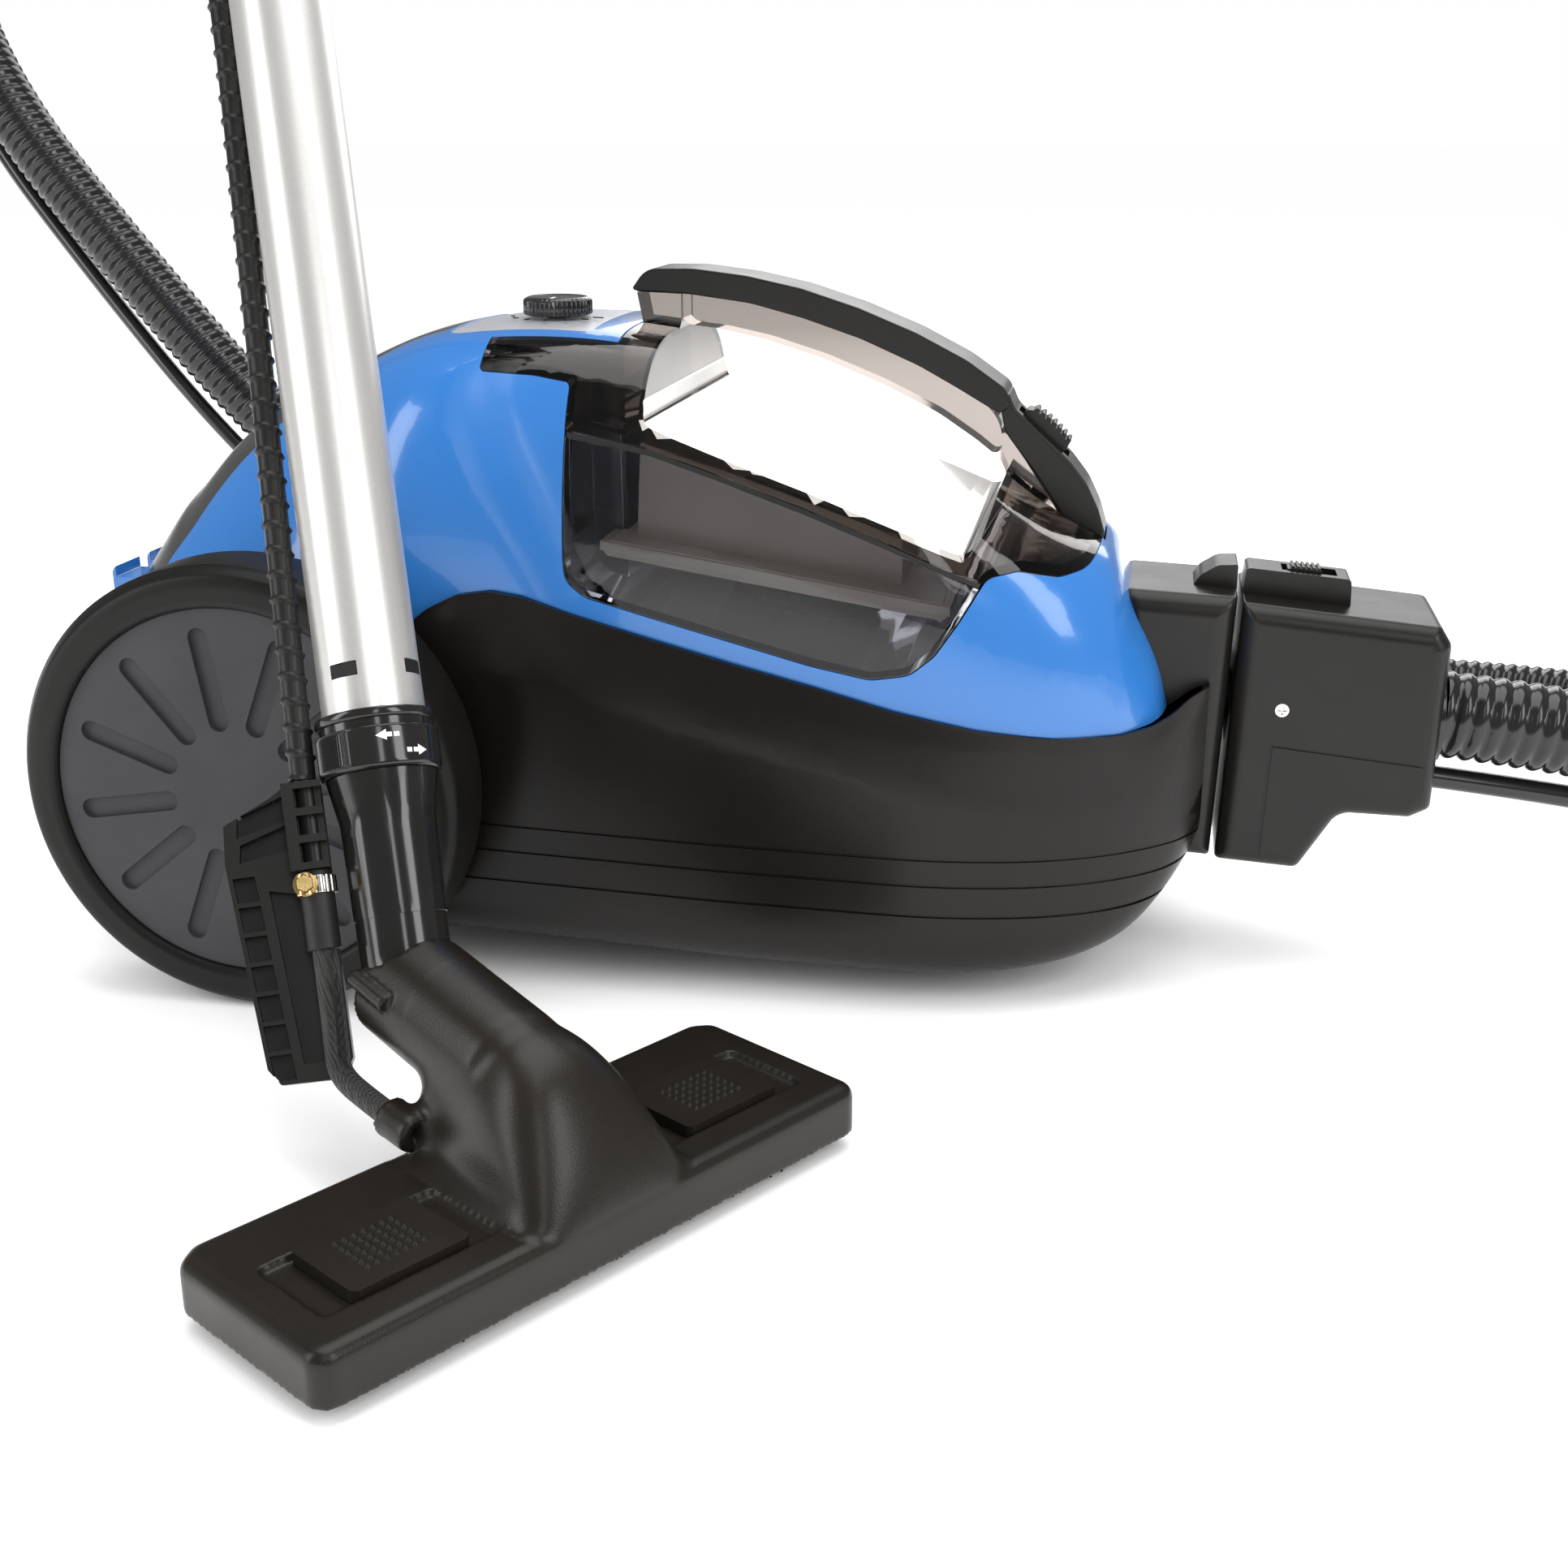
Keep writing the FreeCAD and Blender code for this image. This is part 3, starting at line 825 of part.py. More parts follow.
# clear the sleeve's mouth around the bend of the elbow
mouth = Part.makeCylinder(SLEEVE_R + 3, 20, s0 - SD * 20, SD)
elbow_clear = pipe(16.05, path, pA + T * 14, T * -1)
inner_h = hprism([(-hl + 5, -hd + 6, 4), (hl - 5, -hd + 6, 4), (hl - 5, hd - 6, 4), (-hl + 5, hd - 6, 4)], 0, NOZ_TOP - 6)
body_h = body_h.cut(bore_h).cut(throat).cut(inner_h)
swept = Part.makeCylinder(19.0, 14, s0 - SD * 0.5, SD)
body_h = body_h.cut(swept.common(Part.makeCylinder(19.0, 9.0, s0 - SD * 0.5, SD)))
tracks = [hprism([(cx - 33, -12, 2), (cx + 33, -12, 2), (cx + 33, 24, 2), (cx - 33, 24, 2)], NOZ_TOP - 2.2, NOZ_TOP + 20) for cx in (-69, 69)]
for t_ in tracks:
    body_h = body_h.cut(t_)
body_h = body_h.removeSplitter()
print("head", [round(s.Volume) for s in body_h.Solids], body_h.isValid())
body_h = sorted(body_h.Solids, key=lambda s: -s.Volume)[0]
clash = body_h.common(elbow)
print("head/elbow overlap", clash.Volume)
for k in range(-24, 25, 6):
    e2 = elbow_clear.copy()
    e2.rotate(Q, SD, k)
    body_h = body_h.cut(e2)
body_h = sorted(body_h.Solids, key=lambda s: -s.Volume)[0]
# small pin boss lying on the sleeve's upper left flank
pb_dir = (V(0, 0, 1) * 0.35 - AH * 0.93)
pb_dir = pb_dir - SD * pb_dir.dot(SD)
pb_dir.normalize()
pbc = s0 + SD * 2 + pb_dir * (SLEEVE_R + 0.6)
pinboss = Part.makeCylinder(3.2, 20, pbc - SD * 4, SD).cut(Part.makeCylinder(19.05, 30, s0 - SD * 5, SD))
hose_in = hp(-26, -44, 34)
# hose nipple at the head's rear
nip_dir = (DH + V(0, 0, -0.12))
nip_dir.normalize()
nb0 = hp(-27.5, -46, 35.5)
nb = Part.makeCylinder(7.2, 16, nb0, nip_dir)
body_h = body_h.fuse(nb).cut(Part.makeCylinder(2.5, 26, nb0 - nip_dir, nip_dir)).removeSplitter()
body_h = sorted(body_h.Solids, key=lambda s: -s.Volume)[0]
body_h = sorted(body_h.fuse(pinboss).removeSplitter().Solids, key=lambda s: -s.Volume)[0]
put("nozzle_head", body_h)
# braided hose from the rubber tube round to the head's nipple
bp = [wp(-66, WE, 0), wp(-100, WE, 0), nb0 - nip_dir * 29 + V(0, 0, 1.5), nb0 - nip_dir * 0.0]
bpath = round_wire([(bp[0], 0), (bp[1], 30), (bp[2], 30), (bp[3], 0)], closed=False)
bhose = pipe(bhose_r, bpath, bp[0], bp[1] - bp[0])
print("braided", [tuple(round(c, 1) for c in q) for q in bp], bhose.Volume, bpath.Length * math.pi * bhose_r ** 2)
put("rubber_tube", rub.cut(bhose))
put("braided_hose", bhose.cut(body_h))
sole = hprism([(-hl + 5.2, -hd + 6.2, 4), (hl - 5.2, -hd + 6.2, 4), (hl - 5.2, hd - 6.2, 4), (-hl + 5.2, hd - 6.2, 4)], 6.0, 9.0)
sole = sole.cut(hprism([(-92, -9, 6), (92, -9, 6), (92, 9, 6), (-92, 9, 6)], 0, 20))
for sx in (-1, 1):
    rc = sx * (hl - 13.0)
    sole = sole.cut(Part.makeCylinder(6.6, 8.0, hp(rc - 4.0, hd - 20, 6.0), AH)).cut(Part.makeCylinder(1.5, 15.0, hp(rc - 7.5, hd - 20, 6.0), AH))
sole = sorted(sole.removeSplitter().Solids, key=lambda q: -q.Volume)[0]
put("sole_plate", sole)
brushes = [hbox2(-92, 92, hd - 12, hd - 7, 0.0, 6.0), hbox2(-92, 92, -hd + 7, -hd + 12, 0.0, 6.0)]
put("brush_strips", Part.makeCompound(brushes))
for i, cx in enumerate((-69, 69)):
    pad = hprism([(cx - 22, -11.4, 3), (cx + 22, -11.4, 3), (cx + 22, 23.4, 3), (cx - 22, 23.4, 3)], NOZ_TOP - 1.9, NOZ_TOP + 2.4)
    rows = []
    for a in range(7):
        for b in range(6):
            px, py = cx - 10.5 + a * 3.5, -3.0 + b * 3.5
            rows.append(Part.makeCone(1.25, 0.25, 1.1, hp(px, py, NOZ_TOP + 2.3), V(0, 0, 1)))
    pad = pad.multiFuse(rows)
    put("vent_slide_right" if i == 0 else "vent_slide_left", pad.removeSplitter())
# rollers in the sole corners
rollers, axles = [], []
for sx in (-1, 1):
    cx = sx * (hl - 13.0)
    c0 = hp(cx - 3.5, hd - 20, 6.0)
    rol = Part.makeCylinder(6.0, 7.0, c0, AH).cut(Part.makeCylinder(1.55, 9, c0 - AH, AH))
    rollers.append(rol)
    ax = Part.makeCylinder(1.5, 15.0, hp(cx - 7.5, hd - 20, 6.0), AH)
    axles.append(ax)
put("sole_rollers", Part.makeCompound(rollers))
put("roller_axles", Part.makeCompound(axles))

# ---------------------------------------------------------------------------
# Free lines: suction hose and water tube, from the connector round to the handle
# ---------------------------------------------------------------------------
HOSE = [
    (489.5, 0.0, 113.0), (556.0, 0.0, 107.0), (624.6, 7.4, 92.0), (695.4, 48.8, 68.0), (741.9, 118.8, 45.0),
    (754.6, 203.3, 29.0), (730.9, 285.0, 21.0), (675.7, 347.5, 19.4), (600.1, 378.2, 19.4),
    (505.0, 388.0, 19.4), (375.0, 396.0, 19.4), (238.0, 395.0, 19.4), (100.0, 388.0, 19.4),
    (-30.0, 379.0, 39.0), (-128.0, 371.0, 88.0), (-225.0, 366.0, 180.0), (-317.0, 382.0, 276.0),
    (-402.0, 402.0, 370.0), (-450.0, 434.0, 460.0), (-466.0, 468.0, 545.0), (-458.0, 498.0, 630.0),
    (-432.0, 520.0, 716.0), (-397.0, 528.0, 800.0), (-357.0, 515.0, 880.0), (-321.0, 478.0, 950.0),
    (-282.0, 425.0, 1000.0), (-239.8, 351.9, 1012.4), (-203.5, 289.6, 991.8),
]
WATER = [
    (487.2, 0.0, 84.5), (551.6, 0.8, 78.8), (616.6, 8.9, 64.7), (683.3, 50.7, 42.3), (725.1, 119.5, 22.0),
    (733.6, 199.1, 10.1), (710.1, 272.6, 5.9), (661.5, 327.3, 5.3), (594.1, 354.2, 5.3), (503.0, 363.4, 5.3),
    (374.3, 371.3, 5.3), (238.7, 370.3, 5.3), (100.4, 363.3, 5.3), (-34.4, 358.1, 20.1), (-141.8, 357.5, 67.0),
    (-245.0, 361.2, 160.2), (-337.2, 386.1, 256.4), (-423.0, 410.6, 352.7), (-475.1, 441.0, 448.5),
    (-493.6, 474.1, 541.5), (-485.8, 502.5, 634.1), (-458.9, 521.3, 725.4), (-422.8, 524.9, 811.7),
    (-382.4, 507.4, 890.3), (-346.1, 466.6, 957.2), (-306.5, 410.7, 1003.0), (-264.4, 337.8, 1010.1),
    (-223.6, 258.8, 984.0), (-152.5, 144.8, 943.0), (-127.6, 115.6, 880.0),
]


def cord_solid(name, route, r, bore):
    pts = [V(*q) for q in route]
    rad = []
    for i in range(1, len(pts) - 1):
        u, w = pts[i - 1] - pts[i], pts[i + 1] - pts[i]
        turn = math.pi - u.getAngle(w)
        rad.append(0.45 * min(u.Length, w.Length) / math.tan(turn / 2))
    w = round_wire([(pts[0], 0)] + [(q, k) for q, k in zip(pts[1:-1], rad)] + [(pts[-1], 0)], closed=False)
    s = pipe(r, w, pts[0], pts[1] - pts[0]).cut(pipe(bore, w, pts[0], pts[1] - pts[0]))
    print(name, "length", round(w.Length, 1), "radii", [round(k) for k in rad], "runs", [round((a - b).Length) for a, b in zip(pts, pts[1:])], "vol ratio", round(s.Volume / (w.Length * math.pi * r * r), 4))
    return s


if HOSE:
    hose = cord_solid("hose", HOSE, HOSE_R, HOSE_R - 2.2)
    hose = sorted(hose.cut(box(440, 489.5, -40, 40, 60, 160)).Solids, key=lambda q: -q.Volume)[0]
    put("suction_hose", hose)
    water = cord_solid("water", WATER, WATER_R, WATER_R - 1.6)
    water = sorted(water.cut(wcyl(14.0, A2 - 32, A2 - 6, CE + 2.6, CN - 1.4)).Solids, key=lambda q: -q.Volume)[0]
    put("hose_water_tube", water)
    print("hose/water overlap", hose.common(water).Volume)
bb = None
for n_, s_ in NODES.items():
    if n_ in ("suction_hose", "hose_water_tube"):
        continue
    bb = s_.BoundBox if bb is None else bb.united(s_.BoundBox)
print("BOX without free lines", bb, "centre", (bb.XMin + bb.XMax) / 2, (bb.YMin + bb.YMax) / 2)
print("nodes", len(NODES))
for n_, s_ in NODES.items():
    b_ = s_.optimalBoundingBox(False, False)
    if b_.ZMin < 0.3 or b_.XMin < -350 or b_.XMax > 340 or b_.YMin < -270 or b_.YMax > 400:
        print("   ext", n_, b_)
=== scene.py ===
import bpy, bmesh, math, json, random
from mathutils import Vector as V, Matrix

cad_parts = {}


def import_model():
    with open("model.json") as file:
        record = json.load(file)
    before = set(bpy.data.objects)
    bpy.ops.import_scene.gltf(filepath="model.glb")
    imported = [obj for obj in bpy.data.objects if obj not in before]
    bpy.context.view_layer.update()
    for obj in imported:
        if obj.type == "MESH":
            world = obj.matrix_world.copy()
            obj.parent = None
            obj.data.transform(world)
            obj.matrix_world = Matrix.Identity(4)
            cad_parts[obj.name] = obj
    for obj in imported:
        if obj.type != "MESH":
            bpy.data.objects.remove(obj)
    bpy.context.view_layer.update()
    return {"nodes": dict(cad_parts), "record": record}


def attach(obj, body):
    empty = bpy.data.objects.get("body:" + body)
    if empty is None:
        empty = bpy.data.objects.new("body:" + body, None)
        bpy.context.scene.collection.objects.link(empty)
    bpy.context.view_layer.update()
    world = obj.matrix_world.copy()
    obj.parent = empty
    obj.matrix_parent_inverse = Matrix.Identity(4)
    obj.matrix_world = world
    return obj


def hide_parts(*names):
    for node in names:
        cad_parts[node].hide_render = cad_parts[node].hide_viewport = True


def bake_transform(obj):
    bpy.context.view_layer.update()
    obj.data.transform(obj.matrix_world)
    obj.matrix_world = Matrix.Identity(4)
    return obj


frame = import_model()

scene = bpy.context.scene
rec = frame["record"]
OX, OY = 132.724, -53.083
BODY = {n: b for b, ns in rec["behaviour"]["bodies"].items() for n in ns}
SLOT = {s["node"]: s["material_slot"] for s in rec["subparts"]}
rad = math.radians


def P(x, y, z):
    return V(((x - OX) / 1000, (y - OY) / 1000, z / 1000))


# ---------------------------------------------------------------- camera
cam = bpy.data.cameras.new("camera")
cam.sensor_width = 36.0
cam.lens = 2400.0 / 1932.0 * 36.0
cam.clip_start = 0.01
cam.clip_end = 50
co = bpy.data.objects.new("camera", cam)
scene.collection.objects.link(co)
co.location = P(357.8, -846.5, 355.9)
co.rotation_euler = (rad(71.2), 0, rad(10.5))
scene.camera = co
scene.view_settings.view_transform = "Standard"
scene.view_settings.look = "None"


# ---------------------------------------------------------------- materials
def nodes_of(m):
    m.use_nodes = True
    nt = m.node_tree
    return nt, nt.nodes["Principled BSDF"]


def mat(name, col, rough, metal=0.0, var=0.12, nscale=25.0, bump=0.0, bscale=900.0, coat=0.0, coat_r=0.08, trans=0.0, ior=1.46,
        rvar=0.05, spec=0.5, sheen=0.0, detail=4.0, bdist=0.0004, weave=None):
    m = bpy.data.materials.new(name)
    nt, b = nodes_of(m)
    N, L = nt.nodes, nt.links
    tc = N.new("ShaderNodeTexCoord")
    n1 = N.new("ShaderNodeTexNoise")
    n1.inputs["Scale"].default_value = nscale
    n1.inputs["Detail"].default_value = detail
    L.new(tc.outputs["Object"], n1.inputs["Vector"])
    cr = N.new("ShaderNodeValToRGB")
    cr.color_ramp.elements[0].position = 0.3
    cr.color_ramp.elements[1].position = 0.72
    cr.color_ramp.elements[0].color = (*[c * (1 - var) for c in col], 1)
    cr.color_ramp.elements[1].color = (*[min(1, c * (1 + var)) for c in col], 1)
    L.new(n1.outputs["Fac"], cr.inputs["Fac"])
    L.new(cr.outputs["Color"], b.inputs["Base Color"])
    mr = N.new("ShaderNodeMapRange")
    mr.inputs["To Min"].default_value = max(0.01, rough - rvar)
    mr.inputs["To Max"].default_value = rough + rvar
    n2 = N.new("ShaderNodeTexNoise")
    n2.inputs["Scale"].default_value = nscale * 3.1
    n2.inputs["Detail"].default_value = 6
    L.new(tc.outputs["Object"], n2.inputs["Vector"])
    L.new(n2.outputs["Fac"], mr.inputs["Value"])
    L.new(mr.outputs["Result"], b.inputs["Roughness"])
    b.inputs["Metallic"].default_value = metal
    b.inputs["Coat Weight"].default_value = coat
    b.inputs["Coat Roughness"].default_value = coat_r
    b.inputs["Transmission Weight"].default_value = trans
    b.inputs["IOR"].default_value = ior
    b.inputs["Specular IOR Level"].default_value = spec
    if sheen:
        b.inputs["Sheen Weight"].default_value = sheen
    if bump > 0:
        if weave:
            t = N.new("ShaderNodeTexWave")
            t.inputs["Scale"].default_value = bscale
            t.inputs["Distortion"].default_value = 1.5
            hgt = t.outputs["Fac"]
            mp = N.new("ShaderNodeMapping")
            mp.inputs["Rotation"].default_value = weave
            L.new(tc.outputs["Object"], mp.inputs["Vector"])
            L.new(mp.outputs["Vector"], t.inputs["Vector"])
            t2 = N.new("ShaderNodeTexWave")
            t2.inputs["Scale"].default_value = bscale
            mp2 = N.new("ShaderNodeMapping")
            mp2.inputs["Rotation"].default_value = (weave[0], -weave[1], weave[2] + 1.4)
            L.new(tc.outputs["Object"], mp2.inputs["Vector"])
            L.new(mp2.outputs["Vector"], t2.inputs["Vector"])
            mx = N.new("ShaderNodeMath")
            mx.operation = "MAXIMUM"
            L.new(hgt, mx.inputs[0])
            L.new(t2.outputs["Fac"], mx.inputs[1])
            hgt = mx.outputs[0]
        else:
            t = N.new("ShaderNodeTexNoise")
            t.inputs["Scale"].default_value = bscale
            t.inputs["Detail"].default_value = 2
            L.new(tc.outputs["Object"], t.inputs["Vector"])
            hgt = t.outputs["Fac"]
        bp = N.new("ShaderNodeBump")
        bp.inputs["Strength"].default_value = bump
        bp.inputs["Distance"].default_value = bdist
        L.new(hgt, bp.inputs["Height"])
        L.new(bp.outputs["Normal"], b.inputs["Normal"])
    return m


M = {
    "cover_blue": mat("blue_gloss_moulding", (0.026, 0.158, 0.47), 0.20, var=0.05, nscale=7, coat=0.55, coat_r=0.04, bump=0.03, bscale=90, bdist=0.0006),
    "trim_grey": mat("graphite_satin_trim", (0.035, 0.034, 0.033), 0.30, var=0.12, coat=0.3, coat_r=0.15, bump=0.05, bscale=1500),
    "panel_silver": mat("silver_panel_paint", (0.50, 0.51, 0.54), 0.33, metal=0.45, var=0.06, nscale=300, bump=0.04, bscale=2500),
    "black_gloss": mat("black_gloss_moulding", (0.010, 0.0095, 0.009), 0.16, var=0.2, coat=0.35, coat_r=0.05, bump=0.03, bscale=160),
    "smoke": mat("smoked_clear_lid", (0.34, 0.30, 0.275), 0.03, var=0.05, nscale=6, trans=1.0, ior=1.42, rvar=0.015, bump=0.012, bscale=45, bdist=0.001),
    "smoke_cup": mat("smoked_clear_cup", (0.56, 0.56, 0.60), 0.025, var=0.06, nscale=6, trans=1.0, ior=1.42, rvar=0.015, bump=0.012, bscale=45, bdist=0.001),
    "seal_black": mat("black_seal_rubber", (0.012, 0.012, 0.012), 0.5, var=0.25, bump=0.1, bscale=1200),
    "black_satin": mat("black_satin_moulding", (0.0085, 0.0078, 0.0070), 0.32, var=0.2, nscale=18, bump=0.10, bscale=1700, bdist=0.0002, rvar=0.07),
    "clear_frame": mat("clear_inner_frame", (0.78, 0.70, 0.60), 0.16, var=0.06, trans=0.12, ior=1.4, bump=0.05, bscale=200),
    "filter_dark": mat("dark_pleated_filter", (0.012, 0.013, 0.018), 0.5, var=0.4, bump=0.5, bscale=220, bdist=0.001),
    "shell_black": mat("black_shell_moulding", (0.0062, 0.0048, 0.0040), 0.30, var=0.22, nscale=12, bump=0.14, bscale=1400, bdist=0.0002, rvar=0.06),
    "nozzle_black": mat("warm_black_nozzle_moulding", (0.0115, 0.0092, 0.0070), 0.31, var=0.22, nscale=14, bump=0.22, bscale=1500, bdist=0.00025, rvar=0.06),
    "hub_grey": mat("charcoal_hub_moulding", (0.043, 0.043, 0.046), 0.55, var=0.12, nscale=30, bump=0.12, bscale=1500, bdist=0.0002),
    "tyre_black": mat("black_tread_rubber", (0.0065, 0.0058, 0.0052), 0.42, var=0.25, nscale=20, bump=0.15, bscale=900, bdist=0.0003),
    "steel": mat("bright_steel", (0.62, 0.60, 0.57), 0.25, metal=1.0, var=0.08, bump=0.05, bscale=800),
    "brass": mat("yellow_passivated_screw", (0.72, 0.52, 0.22), 0.26, metal=1.0, var=0.2, nscale=300, bump=0.06, bscale=900),
    "motor_metal": mat("motor_case_metal", (0.25, 0.25, 0.26), 0.4, metal=0.8, var=0.1, bump=0.1, bscale=500),
    "internal_plastic": mat("inner_grey_moulding", (0.10, 0.10, 0.11), 0.5, var=0.15, bump=0.1, bscale=900),
    "tube_aluminium": mat("satin_aluminium_tube", (0.86, 0.845, 0.82), 0.33, metal=0.82, var=0.035, nscale=1400, bump=0.09, bscale=3200, bdist=0.00008, rvar=0.04),
    "hose_black": mat("black_gloss_hose", (0.012, 0.0115, 0.0115), 0.19, var=0.2, coat=0.3, coat_r=0.08, bump=0.05, bscale=300),
    "tube_black": mat("black_smooth_tube", (0.0105, 0.0105, 0.011), 0.20, var=0.2, coat=0.25, bump=0.03, bscale=300),
    "conduit_black": mat("black_ribbed_conduit", (0.012, 0.0115, 0.011), 0.36, var=0.25, bump=0.08, bscale=1200),
    "braid_black": mat("black_braided_sleeve", (0.014, 0.013, 0.012), 0.55, var=0.4, nscale=500, bump=0.9, bscale=230, bdist=0.0007, weave=(0.0, 0.7, 0.5), sheen=0.15),
    "bristle": mat("black_bristle", (0.010, 0.009, 0.009), 0.6, var=0.5, nscale=400, bump=0.3, bscale=900),
    "mark_white": mat("printed_white_mark", (0.78, 0.78, 0.78), 0.45, var=0.06, nscale=500, bump=0.03, bscale=1800),
    # near-black: painted shade where it colours the lock sleeve as a dark gap at the wand joint; also the colour of
    # the dark dial marks
    "gap_shade_and_dial_marks": mat("painted_gap_shade_and_dial_marks", (0.006, 0.006, 0.007), 0.6, var=0.3, bump=0.1),
}


for key, level in (("shell_black", 0.34), ("nozzle_black", 0.36), ("black_satin", 0.36), ("tyre_black", 0.28), ("conduit_black", 0.34), ("hub_grey", 0.3), ("hose_black", 0.42)):
    for node in M[key].node_tree.nodes:
        if node.type == "BSDF_PRINCIPLED":
            node.inputs["Specular IOR Level"].default_value = level


# ---------------------------------------------------------------- mesh helpers
def obj(name, verts, faces, m, smooth=35, body=None):
    me = bpy.data.meshes.new(name)
    me.from_pydata([tuple(v) for v in verts], [], faces)
    me.validate()
    o = bpy.data.objects.new(name, me)
    scene.collection.objects.link(o)
    me.materials.append(m)
    finish_shading(me, smooth)
    if body:
        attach(o, body)
    return o


def finish_shading(me, smooth):
    bm = bmesh.new()
    bm.from_mesh(me)
    bmesh.ops.recalc_face_normals(bm, faces=bm.faces)
    bm.to_mesh(me)
    bm.free()
    for p in me.polygons:
        p.use_smooth = True
    me.set_sharp_from_angle(angle=rad(smooth))


def polish(node, m=None, width=0.0005, seg=2, smooth=32, limit=38, dissolve=0.7):
    src = frame["nodes"][node]
    me = src.data.copy()
    me.name = node + "_skin"
    for a in ("custom_normal", "sharp_edge"):
        if a in me.attributes:
            me.attributes.remove(me.attributes[a])
    o = bpy.data.objects.new(node + "_skin", me)
    scene.collection.objects.link(o)
    bm = bmesh.new()
    bm.from_mesh(me)
    bmesh.ops.remove_doubles(bm, verts=bm.verts, dist=3e-6)
    bmesh.ops.dissolve_degenerate(bm, edges=bm.edges, dist=2e-6)
    if dissolve:
        bmesh.ops.dissolve_limit(bm, angle_limit=rad(dissolve), verts=bm.verts, edges=bm.edges)
    bmesh.ops.recalc_face_normals(bm, faces=bm.faces)
    bm.to_mesh(me)
    bm.free()
    me.materials.clear()
    me.materials.append(m or M[SLOT[node]])
    for p in me.polygons:
        p.use_smooth = True
        p.material_index = 0
    me.set_sharp_from_angle(angle=rad(smooth))
    if width:
        bv = o.modifiers.new("edge", "BEVEL")
        bv.width = width
        bv.segments = seg
        bv.limit_method = "ANGLE"
        bv.angle_limit = rad(limit)
        bv.use_clamp_overlap = True
        bv.harden_normals = False
        wn = o.modifiers.new("normals", "WEIGHTED_NORMAL")
        wn.mode = "FACE_AREA"
        wn.weight = 70
        wn.keep_sharp = False
    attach(o, BODY[node])
    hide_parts(node)
    return o


def tube_mesh(name, path, rfun, m, segs=28, cap=True, twist=0.0):
    """Sweep along path (list of Vectors); rfun(s, theta) gives the radius at arc length s."""
    n = len(path)
    t0 = (path[1] - path[0]).normalized()
    up = V((0, 0, 1)) if abs(t0.z) < 0.9 else V((1, 0, 0))
    u = t0.cross(up).normalized()
    s = 0.0
    vs, fs = [], []
    prev = t0
    for i in range(n):
        if i == 0:
            t = t0
        elif i == n - 1:
            t = (path[-1] - path[-2]).normalized()
        else:
            t = (path[i + 1] - path[i - 1]).normalized()
        q = prev.rotation_difference(t)
        u = q @ u
        u = (u - t * u.dot(t)).normalized()
        w = t.cross(u)
        prev = t
        if i:
            s += (path[i] - path[i - 1]).length
        for k in range(segs):
            a = 2 * math.pi * k / segs
            r = rfun(s, a)
            vs.append(path[i] + u * (r * math.cos(a)) + w * (r * math.sin(a)))
    for i in range(n - 1):
        for k in range(segs):
            a, b = i * segs + k, i * segs + (k + 1) % segs
            fs.append((a, b, b + segs, a + segs))
    if cap:
        fs.append(tuple(range(segs - 1, -1, -1)))
        fs.append(tuple(range((n - 1) * segs, n * segs)))
    return obj(name, vs, fs, m, smooth=60)


def resample(path, step):
    out = [path[0].copy()]
    acc = 0.0
    for a, b in zip(path, path[1:]):
        d = (b - a).length
        while acc + d >= step:
            f = (step - acc) / d
            a = a.lerp(b, f)
            out.append(a.copy())
            d = (b - a).length
            acc = 0.0
            if d < 1e-9:
                break
        acc += d
    if (out[-1] - path[-1]).length > step * 0.3:
        out.append(path[-1].copy())
    else:
        out[-1] = path[-1].copy()
    return out


def route_line(pts, name):
    cu = bpy.data.curves.new(name, "CURVE")
    cu.dimensions = "3D"
    sp = cu.splines.new("NURBS")
    sp.points.add(len(pts) - 1)
    for k, p in zip(sp.points, pts):
        k.co = (*P(*p), 1)
    sp.order_u = 3
    sp.use_endpoint_u = True
    cu.resolution_u = 16
    tmp = bpy.data.objects.new(name, cu)
    scene.collection.objects.link(tmp)
    bpy.context.view_layer.update()
    me = bpy.data.meshes.new_from_object(tmp)
    line = [v.co.copy() for v in me.vertices]
    bpy.data.objects.remove(tmp)
    return line


# ---------------------------------------------------------------- hose and water tube
HOSE = [
    (489.5, 0.0, 113.0), (556.0, 0.0, 107.0), (624.6, 7.4, 92.0), (695.4, 48.8, 68.0), (741.9, 118.8, 45.0),
    (754.6, 203.3, 29.0), (730.9, 285.0, 21.0), (675.7, 347.5, 19.4), (600.1, 378.2, 19.4),
    (505.0, 388.0, 19.4), (375.0, 396.0, 19.4), (238.0, 395.0, 19.4), (100.0, 388.0, 19.4),
    (-30.0, 379.0, 39.0), (-128.0, 371.0, 88.0), (-225.0, 366.0, 180.0), (-317.0, 382.0, 276.0),
    (-402.0, 402.0, 370.0), (-450.0, 434.0, 460.0), (-466.0, 468.0, 545.0), (-458.0, 498.0, 630.0),
    (-432.0, 520.0, 716.0), (-397.0, 528.0, 800.0), (-357.0, 515.0, 880.0), (-321.0, 478.0, 950.0),
    (-282.0, 425.0, 1000.0), (-239.8, 351.9, 1012.4), (-203.5, 289.6, 991.8),
]
